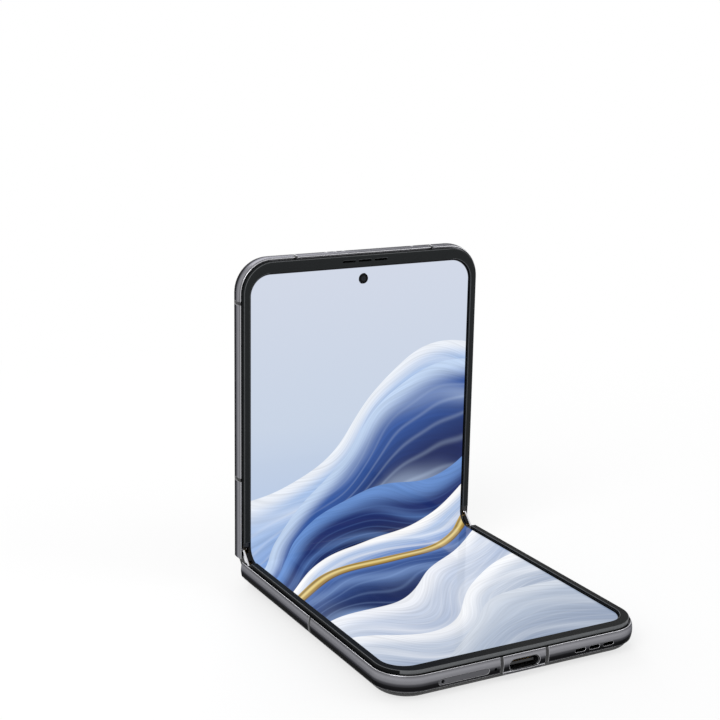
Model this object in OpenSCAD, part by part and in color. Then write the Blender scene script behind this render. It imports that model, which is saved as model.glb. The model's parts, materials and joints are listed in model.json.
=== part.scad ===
// Foldable smartphone with a geared two-shaft hinge, drawn half open: the lower half lies on its
// back and the upper half stands upright. Millimetres, +Z up. The origin is the middle of the lower
// half's flat back, and the screen of the upper half faces -Y.
//
// Each half is drawn in its own "half frame": X across, Y from the fold line out to the end,
// Z = 0 on the screen surface and +Z out of the screen. at_lower() and at_upper() put it in place.

/* [Body] */
// Width across the phone
body_w = 75; // [73:0.5:92]
// Length of one half from the fold line to its end
half_len = 85.5; // [84:0.5:104]
// Radius of the outer corners seen from the front
corner_r = 9.5; // [8:0.5:12]
// Depth of the back behind the screen surface
back_depth = 7; // [7:0.1:8.4]
// Height of the metal band of the frame
band_h = 4.2; // [4.2:0.1:5]
// Distance of the band's front edge behind the screen surface
band_drop = 0.3; // [0.1:0.1:0.5]
// Wall thickness of the band
band_wall = 1.5; // [1.3:0.1:1.8]
// Bulge of the band's outer side
band_bulge = 0.35; // [0.2:0.05:0.5]
// Width of the frame's front lip
lip_w = 0.5; // [0.4:0.1:0.6]
// Open groove between the front lip and the screen bezel
groove_w = 0.5; // [0.3:0.1:0.6]

/* [Screen] */
// Width of the lit picture
lit_w = 68.6; // [64:0.2:86]
// Black border between the picture and the bezel
border_w = 0.45; // [0.3:0.05:1]
// Distance from the end of the frame to the picture
lit_end_gap = 4.45; // [4.2:0.05:6]
// Corner radius of the picture
lit_r = 5.8; // [3:0.1:7]
// Thickness of the bendable screen with its steel backing
screen_t = 0.7; // [0.5:0.05:0.8]
// Height of the bezel above the screen surface
bezel_rise = 0.8; // [0.5:0.05:1]
// Distance from the fold line to the end of the bezel
bezel_start = 6.1; // [5.8:0.1:7]
// Inside radius of the screen where it bends at this opening angle
bend_r = 4; // [3.4:0.1:4.6]
// Thickness of the inner support plate
plate_t = 0.5; // [0.4:0.05:0.6]
// Radius of the hole for the front camera
punch_r = 1.55; // [1.3:0.05:2]

/* [Back] */
// Width of the rounded margin of the back
margin_w = 4; // [3:0.1:5]
// Thickness of the leather
leather_t = 0.4; // [0.3:0.05:0.5]
// Thickness of the rigid back panel under the leather
panel_t = 0.55; // [0.4:0.05:0.7]
// Width of each metal rail beside the fold
rail_w = 2.7; // [2:0.1:3.5]
// Gap between the two rails when the phone lies open
rail_gap = 0.5; // [0.3:0.1:0.8]

/* [Hinge] */
// Half the distance between the two hinge shafts
shaft_dy = 3.2; // [3:0.05:3.4]
// Gap between the two bezels when the phone is shut
shut_gap = 0.4; // [0.3:0.05:0.6]
// Radius of a hinge shaft
shaft_r = 0.8; // [0.7:0.05:0.9]
// Radius of the shaft's end, which carries the gear
journal_r = 0.5; // [0.4:0.05:0.55]
// Radius of the bosses, hubs and washers on the shafts
hub_r = 1.35; // [1.2:0.05:1.4]
// Radial clearance of a shaft in its bore
run_gap = 0.03; // [0.02:0.01:0.05]
// Clearance between the spine and what turns round it
spine_gap = 0.15; // [0.1:0.05:0.25]
// Wall of the spine cover
spine_wall = 0.6; // [0.5:0.05:0.8]
// Length of an arm's hub along the shaft
arm_w = 4; // [3:0.5:5]
// Teeth of each timing gear
gear_teeth = 10; // [10:2:12]
// Face width of the timing gears
gear_w = 0.9; // [0.7:0.1:0.9]

/* [Ports and keys] */
// Width of the opening of the USB-C port
usb_w = 8.34; // [8.34]
// Height of the opening of the USB-C port
usb_h = 2.56; // [2.56]
// Depth of the ports' centre line behind the screen surface
port_z = 3; // [2.95:0.05:3.05]
// Width of the card tray's face
tray_w = 14.1; // [13.5:0.1:15]
// Height of the card tray's face
tray_h = 1.6; // [1.4:0.1:1.8]
// Distance from the middle to the centre of the card tray
tray_x = -17.3; // [-18:0.1:-17]
// Distance from the fold line to the middle of the power key
power_y = 36; // [32:0.5:38]
// Length of the power key
power_len = 10; // [8:0.5:12]
// Distance from the fold line to the middle of the volume rocker
volume_y = 56; // [54:0.5:60]
// Length of the volume rocker
volume_len = 19; // [15:0.5:20]
// Height of both keys
key_h = 1.9; // [1.6:0.1:2]
// How far the keys stand out of the band
key_proud = 0.35; // [0.3:0.05:0.5]

/* [Rear cameras] */
// Length of the camera island across the phone
island_w = 63.6; // [58:0.2:66]
// Height of the camera island
island_h = 37.4; // [34:0.2:40]
// Gap from the end of the phone to the island
island_top = 5.4; // [5:0.1:8]
// Gap from the +X side of the phone to the island
island_side = 5; // [5:0.1:8]
// How far the island's glass stands out of the leather
island_rise = 0.9; // [0.6:0.1:1.2]
// Distance of the lenses from the middle of the phone
lens_x = 22.8; // [21:0.1:24]
// Distance between the two lenses
lens_pitch = 17.3; // [16:0.1:18]
// Outer radius of a lens ring
ring_r = 7.25; // [6.8:0.05:8]
// Height of a lens ring above the island's glass
ring_rise = 1.4; // [1:0.1:2]
// Radius of a lens barrel
barrel_r = 3.9; // [3.4:0.1:4.2]
// Radius of the round outer screen
outer_screen_r = 15.4; // [13:0.1:16]

/* [Hidden] */
$fn = 64;
e = 0.01;
rest_angle = 90;                                  // angle between the halves as drawn
turn = (180 - rest_angle) / 2;                    // turn of each half about its own shaft
part_gap = 0.1;                                   // gap between neighbouring fixed pieces
mid_y = half_len / 2;                             // the row's origin in the half frame

// Heights in the half frame
band_top = -band_drop;
band_bot = -band_drop - band_h;
shelf_top = -screen_t - plate_t;
shelf_t = 0.6;
shelf_bot = shelf_top - shelf_t;
back_z = -back_depth;
tongue_t = 0.35;                                  // strip of the rail under the leather
inner_back = back_z + leather_t + panel_t;        // inner face of the back panel
strip_in = back_z + leather_t + tongue_t;         // inner face of rail and tongue
core_top = shelf_top - 0.15;                      // room for the parts inside, front side
core_bot = inner_back + 0.15;                     // room for the parts inside, back side

// Hinge, in the spine frame: Y = 0 on the fold line, Z = 0 on the screen surface lying open
axis_z = -(shaft_dy - bezel_rise - shut_gap / 2);
spine_r = axis_z - strip_in - spine_gap;          // outer radius of the spine round each shaft
end_spine_r = 2.1;                                // the same in the shallow ends
side_x = body_w / 2;
spine_x = side_x - lip_w - groove_w - margin_w - 0.2;  // end of the deep part of the spine
ear_t = 0.7;                                      // cheek of the frame beside the spine
ear_y = 1.25;                                     // its distance from the fold line
plate_out = side_x - ear_t - spine_gap;           // outer face of the spine's end plate
end_plate_t = 0.5;
gear_x = plate_out - end_plate_t - 0.1 - gear_w;  // inner face of the gears
pitch_r = shaft_dy / 3;
wall_y = shaft_dy + spine_r + 0.5;                // hinge-side wall of each half
wall_t = 1.2;
block_ear = 3;                                    // inner bearing of a hinge block
block_ear_out = 4.9;                              // outer bearing of a hinge block
block_end = spine_x - spine_wall - part_gap;      // outer face of a hinge block
block_x = block_end - block_ear_out - arm_w - 2 * part_gap - block_ear;  // its inner face
arm_x = block_x + block_ear + part_gap;
cap_y = 2.6;                                      // half the width of the end plate's cap
disc_t = 0.45;                                    // thickness of a friction washer
press_angle = 25;                                 // of the timing gears
backlash = 0.03;
corner_drop = (-axis_z - shaft_dy * sin(turn)) / cos(turn);
corner_foot = shaft_dy * cos(turn) - corner_drop * sin(turn);
corner_y = shaft_dy - corner_foot;                // where the two screen planes cross, half frame

// Screen and bezel
screen_x = lit_w / 2 + border_w + 0.2;
bezel_out = lip_w + groove_w;
bezel_in_x = lit_w / 2 + border_w;
bezel_in_y = half_len - lit_end_gap + border_w;
screen_end = bezel_in_y + 0.2;
fold_y = bezel_start + 0.3;                       // where the bending part of the screen ends

// Arms and screws
leaf_t = 0.7;
leaf_top = shelf_top - 0.05;
leaf_y = wall_y + wall_t + 4.4;
screw_y = wall_y + wall_t + 2.2;
screw_r = 0.6;
head_r = 1;

// Antenna breaks in the band: X, Y and the direction across the band
break_w = 0.9;
lower_breaks = [[-side_x, 43.5, 0], [side_x, 43.5, 0], [-6.6, half_len, 90], [6.6, half_len, 90]];
upper_breaks = [[-side_x, 24.2, 0], [-side_x, 73.6, 0], [side_x, 24.2, 0], [side_x, 73.6, 0],
                [-20.6, half_len, 90], [22.1, half_len, 90]];

// Ribbon cable through the hinge
flex_w = 12;
flex_t = 0.12;
flex_z = core_top - 0.12;
flex_dip = axis_z - spine_r + spine_wall + 0.15;  // its lowest line inside the spine

// Ports
usb_wall = 0.3;
usb_depth = 7;
mic_x = -8.4;
slot_x = [16.6, 20.9, 25.2];                      // loudspeaker slots
slot_w = 3.2;
usb_y = half_len - 0.3 - usb_depth;               // back of the port's shell
tray_len = 20;
tray_y = half_len - band_wall - tray_len;         // inner end of the tray
tray_body = [tray_w - 1.2, tray_h - 0.45];        // width and height of its body
sock_y = half_len - band_wall - 0.6;              // mouth of the socket
key_z = band_top - band_h / 2;
key_gap = 0.1;

// Camera island, half frame
island_y = half_len - island_top - island_h / 2;
island_r = island_h / 2;
island_cx = side_x - island_side - island_w + island_r;  // centre of the round end
step_w = 1.7;                                      // raised leather outside the island
step_rise = 0.35;
glass_top = back_z - island_rise;
glass_t = 0.8;
flash_x = 11.6;
front_cam_y = half_len - 7.7;
lens_places = [[lens_x, island_y + lens_pitch / 2], [lens_x, island_y - lens_pitch / 2]];
sleeve_r = ring_r - 0.7;
cover_r = ring_r - 1.2;
barrel_top = glass_top - ring_rise + 1.3;
house_w = 12.4;                                   // side of a camera housing

// Inside the lower half
sub_y = half_len - 23;                            // board of the lower half starts here
board_t = 0.8;
board_top = -port_z - usb_h / 2 - usb_wall - 0.04;
cell_x = side_x - band_wall - 4.5;                // half the width of the batteries
cell_y = leaf_y + 1.4;
cell_top = flex_z - 0.2;
motor = [[4.3 - side_x, half_len - 21.5, board_top + 0.1], [6, 12, 2.6]];  // corner and size

// Inside the upper half
board_y = island_y - island_h / 2 - 2.5;          // main board starts here
main_top = -2.6;
earpiece_y = half_len - 4.5;

metal = [0.36, 0.36, 0.38];
steel = [0.72, 0.72, 0.74];
black = [0.08, 0.08, 0.09];
leather = [0.2, 0.2, 0.21];
pcb = [0.08, 0.25, 0.16];

// ---- Places ----

module at_lower() translate([0, mid_y, back_depth]) mirror([0, 1, 0]) children();

module at_spine()
    translate([0, mid_y - shaft_dy, back_depth + axis_z])
        rotate([turn, 0, 0]) translate([0, shaft_dy, -axis_z]) children();

module at_upper()
    at_spine() translate([0, shaft_dy, axis_z])
        rotate([turn, 0, 0]) translate([0, -shaft_dy, -axis_z]) children();

// Both ends of the hinge
module both_ends() for (s = [0, 1]) mirror([s, 0, 0]) children();

// ---- Shapes ----

// A block between two corners
module block(a, b) translate(a) cube(b - a);

// A profile drawn in (Y, Z), drawn out along X from x0
module along_x(x0, len) translate([x0, 0, 0]) rotate([90, 0, 90]) linear_extrude(len) children();

// A profile drawn in (X, Z), drawn out along Y from y0
module along_y(y0, len)
    translate([0, y0 + len, 0]) rotate([90, 0, 0]) linear_extrude(len) children();

// A flat piece between two heights, its outline drawn in (X, Y)
module slab(z0, z1) translate([0, 0, z0]) linear_extrude(z1 - z0) children();

// Plan of one half, inset from the frame's outside, from y0 to the end
module plan(inset, y0) {
    hw = side_x - inset;
    end = half_len - inset;
    r = max(corner_r - inset, 1);
    translate([-hw, y0]) square([2 * hw, end - r - y0]);
    translate([r - hw, y0]) square([2 * (hw - r), end - y0]);
    for (s = [-1, 1]) translate([s * (hw - r), end - r]) circle(r);
}

// Plan of the window in the bezel, grown by g
module window(g, y0) {
    hw = bezel_in_x + g;
    end = bezel_in_y + g;
    r = lit_r + border_w + g;
    translate([-hw, y0]) square([2 * hw, end - r - y0]);
    translate([r - hw, y0]) square([2 * (hw - r), end - y0]);
    for (s = [-1, 1]) translate([s * (hw - r), end - r]) circle(r);
}

// A profile in (distance inward < 0, Z), swept round the three outer sides of a half from y0
module edge_sweep(y0) {
    side_end = half_len - corner_r;
    for (s = [0, 1]) mirror([s, 0, 0]) {
        translate([side_x, side_end, 0]) rotate([90, 0, 0])
            linear_extrude(side_end - y0) children();
        translate([side_x - corner_r, side_end, 0])
            rotate_extrude(angle = 90) translate([corner_r, 0]) children();
    }
    translate([corner_r - side_x, half_len, 0]) rotate([90, 0, 90])
        linear_extrude(body_w - 2 * corner_r) children();
}

// A slot with round ends in (X, Z), centred
module pill(w, h) {
    square([w - h, h], center = true);
    for (s = [-1, 1]) translate([s * (w - h) / 2, 0]) circle(h / 2);
}

// Plan of the camera island, inset all round: square towards +X, round towards -X
module island(inset) {
    x1 = side_x - island_side - inset;
    r = 4.4 - inset;
    h = island_h / 2 - inset;
    translate([island_cx, island_y]) circle(island_r - inset);
    translate([island_cx, island_y - h]) square([x1 - island_cx - r, 2 * h]);
    translate([island_cx, island_y - h + r]) square([x1 - island_cx, 2 * (h - r)]);
    for (s = [-1, 1]) translate([x1 - r, island_y + s * (h - r)]) circle(r);
}

// Outer side of the back as a quarter of an ellipse, moved in by t
function margin_curve(t, n = 10) =
    [for (i = [0 : n]) [-bezel_out - margin_w + (margin_w - t) * cos(90 * i / n),
                        band_bot - e - (back_depth + band_bot - e - t) * sin(90 * i / n)]];

function reversed(list) = [for (i = [len(list) - 1 : -1 : 0]) list[i]];

// One layer of the back between depths t0 and t1 under the outer face, from y0 to the end
module back_layer(t0, t1, y0) {
    edge_sweep(y0) polygon(concat(margin_curve(t0), reversed(margin_curve(t1))));
    slab(back_z + t0, back_z + t1) plan(bezel_out + margin_w - e, y0);
}

// The same between y0 and y1 on the straight sides only
module back_strip(t0, t1, y0, y1) {
    for (s = [0, 1]) mirror([s, 0, 0]) translate([side_x, 0, 0])
        along_y(y0, y1 - y0) polygon(concat(margin_curve(t0), reversed(margin_curve(t1))));
    half = side_x - bezel_out - margin_w + e;
    block([-half, y0, back_z + t0], [half, y1, back_z + t1]);
}

// Outside of the metal bump behind the USB-C port, grown by g
module usb_bump(g) {
    polygon([[-7 - g, band_bot + g], [-4.9 - g, band_bot - 0.7 - g],
             [4.9 + g, band_bot - 0.7 - g], [7 + g, band_bot + g]]);
}

// ---- Frames ----

// Cross-section of the band: bulged outer side, front lip, groove floor and inner shelf
module band_profile() {
    n = 8;
    bulge = [for (i = [0 : n]) let (a = -1 + 2 * i / n)
        [-band_bulge * a * a, band_bot + band_h * i / n]];
    polygon(concat(bulge, [
        [-lip_w, band_top], [-lip_w, shelf_top], [-3.4, shelf_top], [-3.4, shelf_bot],
        [-band_wall, shelf_bot], [-band_wall, band_bot]]));
}

// Band, shelf, hinge-side wall, cheeks beside the spine and bosses for the hinge arms
module frame_body() {
    difference() {
        edge_sweep(ear_y) band_profile();
        // room for the spine between the cheeks
        block([ear_t - side_x, -1, -back_depth], [side_x - ear_t, wall_y, 1]);
    }
    // hinge-side wall
    difference() {
        block([-side_x + band_wall - e, wall_y, band_bot],
              [side_x - band_wall + e, wall_y + wall_t, shelf_top]);
        for (s = [0, 1]) mirror([s, 0, 0])
            block([arm_x - 2 - part_gap, 0, leaf_top - leaf_t - e],
                  [arm_x + arm_w + 2 + part_gap, wall_y + 9, 0]);
        block([-8.2, 0, leaf_top - leaf_t - 0.6], [8.2, wall_y + 9, 0]);
    }
    block([-spine_x, wall_y, strip_in], [spine_x, wall_y + wall_t, band_bot + e]);
    // bosses under the arms
    for (s = [0, 1]) mirror([s, 0, 0]) difference() {
        block([arm_x - 2, wall_y + wall_t - e, band_bot],
              [arm_x + arm_w + 2, leaf_y, leaf_top - leaf_t]);
        arm_screw_places() cylinder(r = screw_r, h = 20, center = true);
    }
}

module arm_screw_places()
    for (dx = [-0.5, arm_w + 0.5]) translate([arm_x + dx, screw_y, 0]) children();

module break_cuts(list)
    for (p = list) translate([p[0], p[1], band_bot - 1]) rotate([0, 0, p[2]])
        translate([-band_wall, -break_w / 2, 0]) cube([2 * band_wall, break_w, band_h + 2]);

// Plastic that fills the breaks
module breaks(list) color(black) intersection() {
    edge_sweep(ear_y) band_profile();
    break_cuts(list);
}

module lower_frame() color(metal) at_lower() difference() {
    union() {
        frame_body();
        along_y(half_len - band_wall, band_wall - 0.25) usb_bump(0);
    }
    break_cuts(lower_breaks);
    // USB-C port
    translate([0, 0, -port_z]) along_y(half_len - 6, 8) pill(usb_w + 2 * usb_wall, usb_h + 2 * usb_wall);
    // card tray, microphone and loudspeaker
    translate([tray_x, 0, -port_z]) along_y(half_len - 6, 8) pill(tray_w, tray_h);
    translate([mic_x, 0, -port_z]) along_y(half_len - 3, 5) circle(0.4);
    for (x = slot_x) translate([x, 0, -port_z]) along_y(half_len - 3, 5) pill(slot_w, 1);
}

module lower_antenna_breaks() at_lower() breaks(lower_breaks);

module upper_frame() color(metal) at_upper() difference() {
    frame_body();
    break_cuts(upper_breaks);
    // microphones in the top edge
    for (x = [-10.6, -7.95, -5.3, 16.4]) translate([x, 0, key_z])
        along_y(half_len - 3, 5) circle(0.4);
    // sound way of the earpiece
    block([-7, half_len - 3, shelf_bot - 1], [7, half_len - 2, shelf_top + 1]);
    // keys, and the shelf above their flanges
    for (k = [[power_y, power_len], [volume_y, volume_len]]) {
        along_x(side_x - 5, 9) translate([k[0], key_z])
            pill(k[1] + 2 * key_gap, key_h + 2 * key_gap);
        block([side_x - 3.6, k[0] - k[1] / 2 - 1.6, shelf_bot - 1],
              [side_x - band_wall, k[0] + k[1] / 2 + 1.6, 0]);
    }
}

module upper_antenna_breaks() at_upper() breaks(upper_breaks);

// ---- Back of each half ----

module rail() color(metal) {
    back_strip(0, leather_t + tongue_t, rail_gap / 2, rail_gap / 2 + rail_w);
    back_strip(leather_t, leather_t + tongue_t, rail_gap / 2 + rail_w - e, wall_y + wall_t);
}

module back_panel() color([0.15, 0.15, 0.16])
    back_layer(leather_t, leather_t + panel_t, wall_y + wall_t);

module leather_back() color(leather)
    back_layer(0, leather_t, rail_gap / 2 + rail_w + 0.05);

module bump_room() along_y(half_len - 6, 8) usb_bump(0.05);

module lower_rail() at_lower() rail();
module lower_back_panel() color([0.15, 0.15, 0.16]) at_lower() difference() {
    back_panel();
    bump_room();
}
module lower_leather() color(leather) at_lower() difference() {
    leather_back();
    bump_room();
}
module upper_rail() at_upper() rail();

module upper_back_panel() color([0.15, 0.15, 0.16]) at_upper() difference() {
    back_panel();
    slab(back_z - 1, 0) island(1.8);
}

// The leather round the island is raised in a low step
module upper_leather() color(leather) at_upper() difference() {
    union() {
        leather_back();
        slab(back_z - step_rise, back_z + 0.7 * leather_t) intersection() {
            plan(bezel_out + margin_w - 1, 0);
            union() {
                translate([island_cx, island_y]) circle(island_r + step_w);
                translate([island_cx, island_y - island_r - step_w]) square([60, 60]);
            }
        }
    }
    slab(back_z - 1, 0) island(-0.05);
}

// ---- Screen side of each half ----

module bezel() color([0.19, 0.19, 0.19]) difference() {
    slab(shelf_top, bezel_rise) plan(bezel_out, bezel_start);
    slab(0.05, bezel_rise + 1) window(0, 0);
    slab(shelf_top - 1, 0.06) window(0.3, 0);
    // the leg stops where the hinge-side wall begins
    block([-side_x, 0, shelf_top - 1], [side_x, wall_y, -screen_t]);
}

module lower_bezel() at_lower() bezel();

module upper_bezel() color([0.19, 0.19, 0.19]) at_upper() difference() {
    bezel();
    for (x = [-5, 0, 5]) translate([x, half_len - 2.5, 0]) slab(shelf_top - 1, 2) pill(4.1, 0.6);
}

module mid_plate() slab(shelf_top, -screen_t) intersection() {
    window(0.2, wall_y);
    plan(0, wall_y);
}

module lower_mid_plate() color(steel) at_lower() mid_plate();

module upper_mid_plate() color(steel) at_upper() difference() {
    mid_plate();
    translate([0, front_cam_y, 0]) cylinder(r = punch_r + 0.6, h = 9, center = true);
}

module screen_half() slab(-screen_t, 0) window(0.2, fold_y);

module screen_lower() color([0.75, 0.8, 0.9]) at_lower() screen_half();

module screen_upper() color([0.6, 0.68, 0.85]) at_upper() difference() {
    screen_half();
    translate([0, front_cam_y, 0]) cylinder(r = punch_r, h = 9, center = true);
}

// Outline in (Y, Z) of a sheet that follows both screen planes and rounds the corner between them.
// Y = Z = 0 is where the planes cross, d0 and d1 are its depths behind the screen surface, and it
// reaches len along each plane.
module bent_sheet(d0, d1, len) {
    translate([-len, -d1]) square([len - bend_r, d1 - d0]);
    translate([d0, bend_r]) square([d1 - d0, len - bend_r]);
    intersection() {
        translate([-bend_r, bend_r]) difference() {
            circle(bend_r + d1);
            circle(bend_r + d0);
        }
        translate([-bend_r, bend_r - 20]) square([20, 20]);
    }
}

// The point where the two screen planes cross, in the row's own frame
module at_corner() translate([0, mid_y - corner_y, back_depth]) children();

module screen_fold() color([0.68, 0.74, 0.88]) at_corner()
    along_x(-screen_x, 2 * screen_x) bent_sheet(0, screen_t, fold_y - corner_y - 0.02);

// Soft black strips that close the edge of the screen between the bezels
module fold_edge_seals() color(black) both_ends() difference() {
    at_corner() along_x(screen_x + 0.05, bezel_out_x() - screen_x - 0.1)
        bent_sheet(-0.1, screen_t, bezel_start - corner_y - 0.02);
    at_spine() along_x(screen_x - 1, side_x - screen_x + 1) translate([-cap_y - part_gap, -9])
        square([2 * (cap_y + part_gap), 12]);
}

function bezel_out_x() = side_x - bezel_out;

// ---- Hinge, in the spine frame ----

// Lower half of a stadium round both shafts
module spine_half(r) intersection() {
    union() {
        for (s = [-1, 1]) translate([s * shaft_dy, axis_z]) circle(r);
        translate([-shaft_dy, axis_z - r]) square([2 * shaft_dy, r]);
    }
    translate([-20, axis_z - 20]) square([40, 20]);
}

module spine_cover() color(metal) at_spine() {
    inner = end_spine_r - spine_wall;
    along_x(-spine_x, 2 * spine_x) difference() {
        spine_half(spine_r);
        spine_half(spine_r - spine_wall);
    }
    both_ends() {
        along_x(spine_x - spine_wall, spine_wall) difference() {
            spine_half(spine_r - e);
            spine_half(inner);
        }
        along_x(spine_x - e, plate_out - end_plate_t - spine_x + e) difference() {
            spine_half(end_spine_r);
            spine_half(inner);
        }
    }
}

// Polished end of the spine: bearings of the shafts' ends, pins of the idler gears, and the cap
// that shows between the bezels
module spine_end_plates() color([0.85, 0.85, 0.87]) at_spine() both_ends() {
    pin_r = 0.35;
    along_x(plate_out - end_plate_t, end_plate_t) difference() {
        union() {
            spine_half(end_spine_r);
            for (s = [-1, 1]) translate([s * shaft_dy, axis_z]) circle(hub_r);
            translate([-cap_y, axis_z - 1]) square([2 * cap_y, 1 - axis_z - 0.35]);
        }
        for (s = [-1, 1]) translate([s * shaft_dy, axis_z]) circle(journal_r + run_gap);
    }
    for (s = [-1, 1]) translate([0, s * pitch_r, axis_z]) rotate([0, 90, 0])
        translate([0, 0, gear_x - 0.2]) cylinder(r = pin_r, h = plate_out - gear_x);
    nub_z = axis_z + pitch_r * 1.2 + 0.12;
    along_x(screen_x + 0.15, plate_out - screen_x - 0.2)
        translate([-1.2, nub_z]) square([2.4, -0.3 - nub_z]);
}

// Bearings of the shafts, fixed in the spine cover either side of each arm
module hinge_blocks() color(steel) at_spine() both_ends() for (s = [0, 1]) mirror([0, s, 0])
    difference() {
        union() {
            for (p = [[block_x, block_ear], [block_end - block_ear_out, block_ear_out]])
                along_x(p[0], p[1]) block_profile(axis_z);
            along_x(block_x, block_end - block_x) block_profile(axis_z - hub_r - 0.15);
        }
        shaft_hole();
    }

module block_profile(top) {
    intersection() {
        spine_half(spine_r - spine_wall - 0.02);
        translate([1.9, axis_z - 20]) square([20, 20 + top - axis_z]);
    }
    if (top == axis_z) intersection() {
        translate([shaft_dy, axis_z]) circle(hub_r);
        translate([1.9, axis_z - 9]) square([20, 20]);
    }
}

module shaft_hole() along_x(block_x - 9, 40) translate([shaft_dy, axis_z]) circle(shaft_r + run_gap);

// Spring washers pressed between the shaft's collar and the hinge block, which hold any angle
module friction_discs() color([0.6, 0.55, 0.4]) at_spine() both_ends()
    for (s = [-1, 1], i = [0 : 2])
        along_x(block_x - (i + 1) * (disc_t + 0.05), disc_t) translate([s * shaft_dy, axis_z])
            difference() {
                circle(hub_r);
                circle(shaft_r + run_gap);
            }

// Shaft of a half: collar, shaft and end journal
module shafts() color(steel) both_ends() {
    collar_x = block_x - 3 * (disc_t + 0.05) - 0.1;
    along_x(collar_x - 0.7, 0.7) translate([shaft_dy, axis_z]) circle(1.2);
    along_x(collar_x - e, gear_x - 0.25 - collar_x) translate([shaft_dy, axis_z]) circle(shaft_r);
    along_x(gear_x - 0.25 - 2 * e, plate_out - gear_x + 0.2) translate([shaft_dy, axis_z])
        circle(journal_r);
}

// Arm of a half: hub on the shaft and a leaf screwed to the frame
module arms() color(steel) both_ends() difference() {
    union() {
        along_x(arm_x, arm_w) {
            translate([shaft_dy, axis_z]) circle(hub_r);
            translate([shaft_dy, leaf_top - leaf_t]) square([wall_y - shaft_dy + e, leaf_t]);
        }
        block([arm_x - 2, wall_y, leaf_top - leaf_t], [arm_x + arm_w + 2, leaf_y, leaf_top]);
    }
    along_x(arm_x - 1, arm_w + 2) translate([shaft_dy, axis_z]) circle(shaft_r);
    arm_screw_places() {
        cylinder(r = screw_r, h = 20, center = true);
        translate([0, 0, leaf_top - 0.4]) cylinder(r = head_r, h = 1);
    }
}

module screws() color(black) both_ends() arm_screw_places() {
    translate([0, 0, leaf_top - 0.4]) cylinder(r = head_r, h = 0.38);
    translate([0, 0, leaf_top - 2.6]) cylinder(r = screw_r, h = 2.6 - 0.4 + e);
}

// Involute gear. The addendum is short and the flanks are thinned a little for backlash.
function inv(a) = tan(a) * 180 / PI - a;
function gear_points(r, n) = let (
    m = 2 * r / n,
    rb = r * cos(press_angle),
    ra = r + 0.8 * m,
    rr = r - 1.1 * m,
    half = 90 / n - backlash / (2 * r) * 180 / PI,
    radii = [for (i = [0 : 4]) rb + (ra - rb) * i / 4],
    lean = [for (q = radii) half + inv(press_angle) - inv(acos(min(1, rb / q)))]
) [for (k = [0 : n - 1]) let (c = k * 360 / n) each concat(
    [rr * [cos(c - lean[0] - 1), sin(c - lean[0] - 1)]],
    [for (i = [0 : 4]) radii[i] * [cos(c - lean[i]), sin(c - lean[i])]],
    [for (i = [4 : -1 : 0]) radii[i] * [cos(c + lean[i]), sin(c + lean[i])]],
    [rr * [cos(c + lean[0] + 1), sin(c + lean[0] + 1)]]
)];

// One timing gear at each end of the hinge, at y, with its bore and its phase in teeth
module gears(y, bore, phase) color([0.8, 0.7, 0.45]) at_spine() both_ends()
    along_x(gear_x, gear_w) translate([y, axis_z]) difference() {
        rotate(phase * 360 / gear_teeth) polygon(gear_points(pitch_r, gear_teeth));
        circle(bore);
    }

module lower_gears() gears(-shaft_dy, journal_r, 0);
module idler_gears_a() gears(-pitch_r, 0.35 + run_gap, 0.5);
module idler_gears_b() gears(pitch_r, 0.35 + run_gap, 0);
module upper_gears() gears(shaft_dy, journal_r, 0.5);
module lower_hinge_arms() at_lower() arms();
module lower_hinge_shafts() at_lower() shafts();
module lower_screws() at_lower() screws();
module upper_hinge_arms() at_upper() arms();
module upper_hinge_shafts() at_upper() shafts();
module upper_screws() at_upper() screws();

// Ribbon cable from the board of the lower half, under the bending screen, to the main board
function from_spine(p) = [
    mid_y - shaft_dy + (p[0] + shaft_dy) * cos(turn) - (p[1] - axis_z) * sin(turn),
    back_depth + axis_z + (p[0] + shaft_dy) * sin(turn) + (p[1] - axis_z) * cos(turn)];
function from_lower(p) = [mid_y - p[0], back_depth + p[1]];
function from_upper(p) = from_spine([
    shaft_dy + (p[0] - shaft_dy) * cos(turn) - (p[1] - axis_z) * sin(turn),
    axis_z + (p[0] - shaft_dy) * sin(turn) + (p[1] - axis_z) * cos(turn)]);
function unit(v) = v / norm(v);
function side_of(list, i, d) = let (
    t = unit(list[min(i + 1, len(list) - 1)] - list[max(i - 1, 0)])
) list[i] + d * [-t[1], t[0]];
module ribbon(list, t) polygon(concat(
    [for (i = [0 : len(list) - 1]) side_of(list, i, t / 2)],
    [for (i = [len(list) - 1 : -1 : 0]) side_of(list, i, -t / 2)]));

module hinge_flex() color([0.75, 0.45, 0.15]) along_x(-flex_w / 2, flex_w) ribbon(concat(
    [for (p = [[sub_y + 4, board_top + 0.1], [sub_y + 2, board_top + 0.3], [sub_y + 1, board_top + 1.5],
               [sub_y + 0.8, flex_z - 0.8], [sub_y, flex_z], [wall_y + 2, flex_z],
               [wall_y, flex_z - 0.15], [wall_y - 1.2, flex_z - 0.6]]) from_lower(p)],
    [for (p = [[-3, axis_z - 1], [-2.2, flex_dip + 0.55], [-1.2, flex_dip + 0.05], [0, flex_dip],
               [1.2, flex_dip + 0.05], [2.2, flex_dip + 0.55], [3, axis_z - 1]]) from_spine(p)],
    [for (p = [[wall_y - 1.2, flex_z - 0.6], [wall_y, flex_z - 0.15], [wall_y + 2, flex_z],
               [board_y - 1.4, flex_z], [board_y - 0.4, flex_z - 0.3], [board_y + 0.8, main_top + 0.15],
               [board_y + 3, main_top + 0.1]]) from_upper(p)]), flex_t);

// ---- Inside the lower half ----

// Rounded plate between two corners in plan
module pad(a, b, r) {
    translate([a[0] + r, a[1]]) square([b[0] - a[0] - 2 * r, b[1] - a[1]]);
    translate([a[0], a[1] + r]) square([b[0] - a[0], b[1] - a[1] - 2 * r]);
    for (x = [a[0] + r, b[0] - r], y = [a[1] + r, b[1] - r]) translate([x, y]) circle(r);
}

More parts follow.
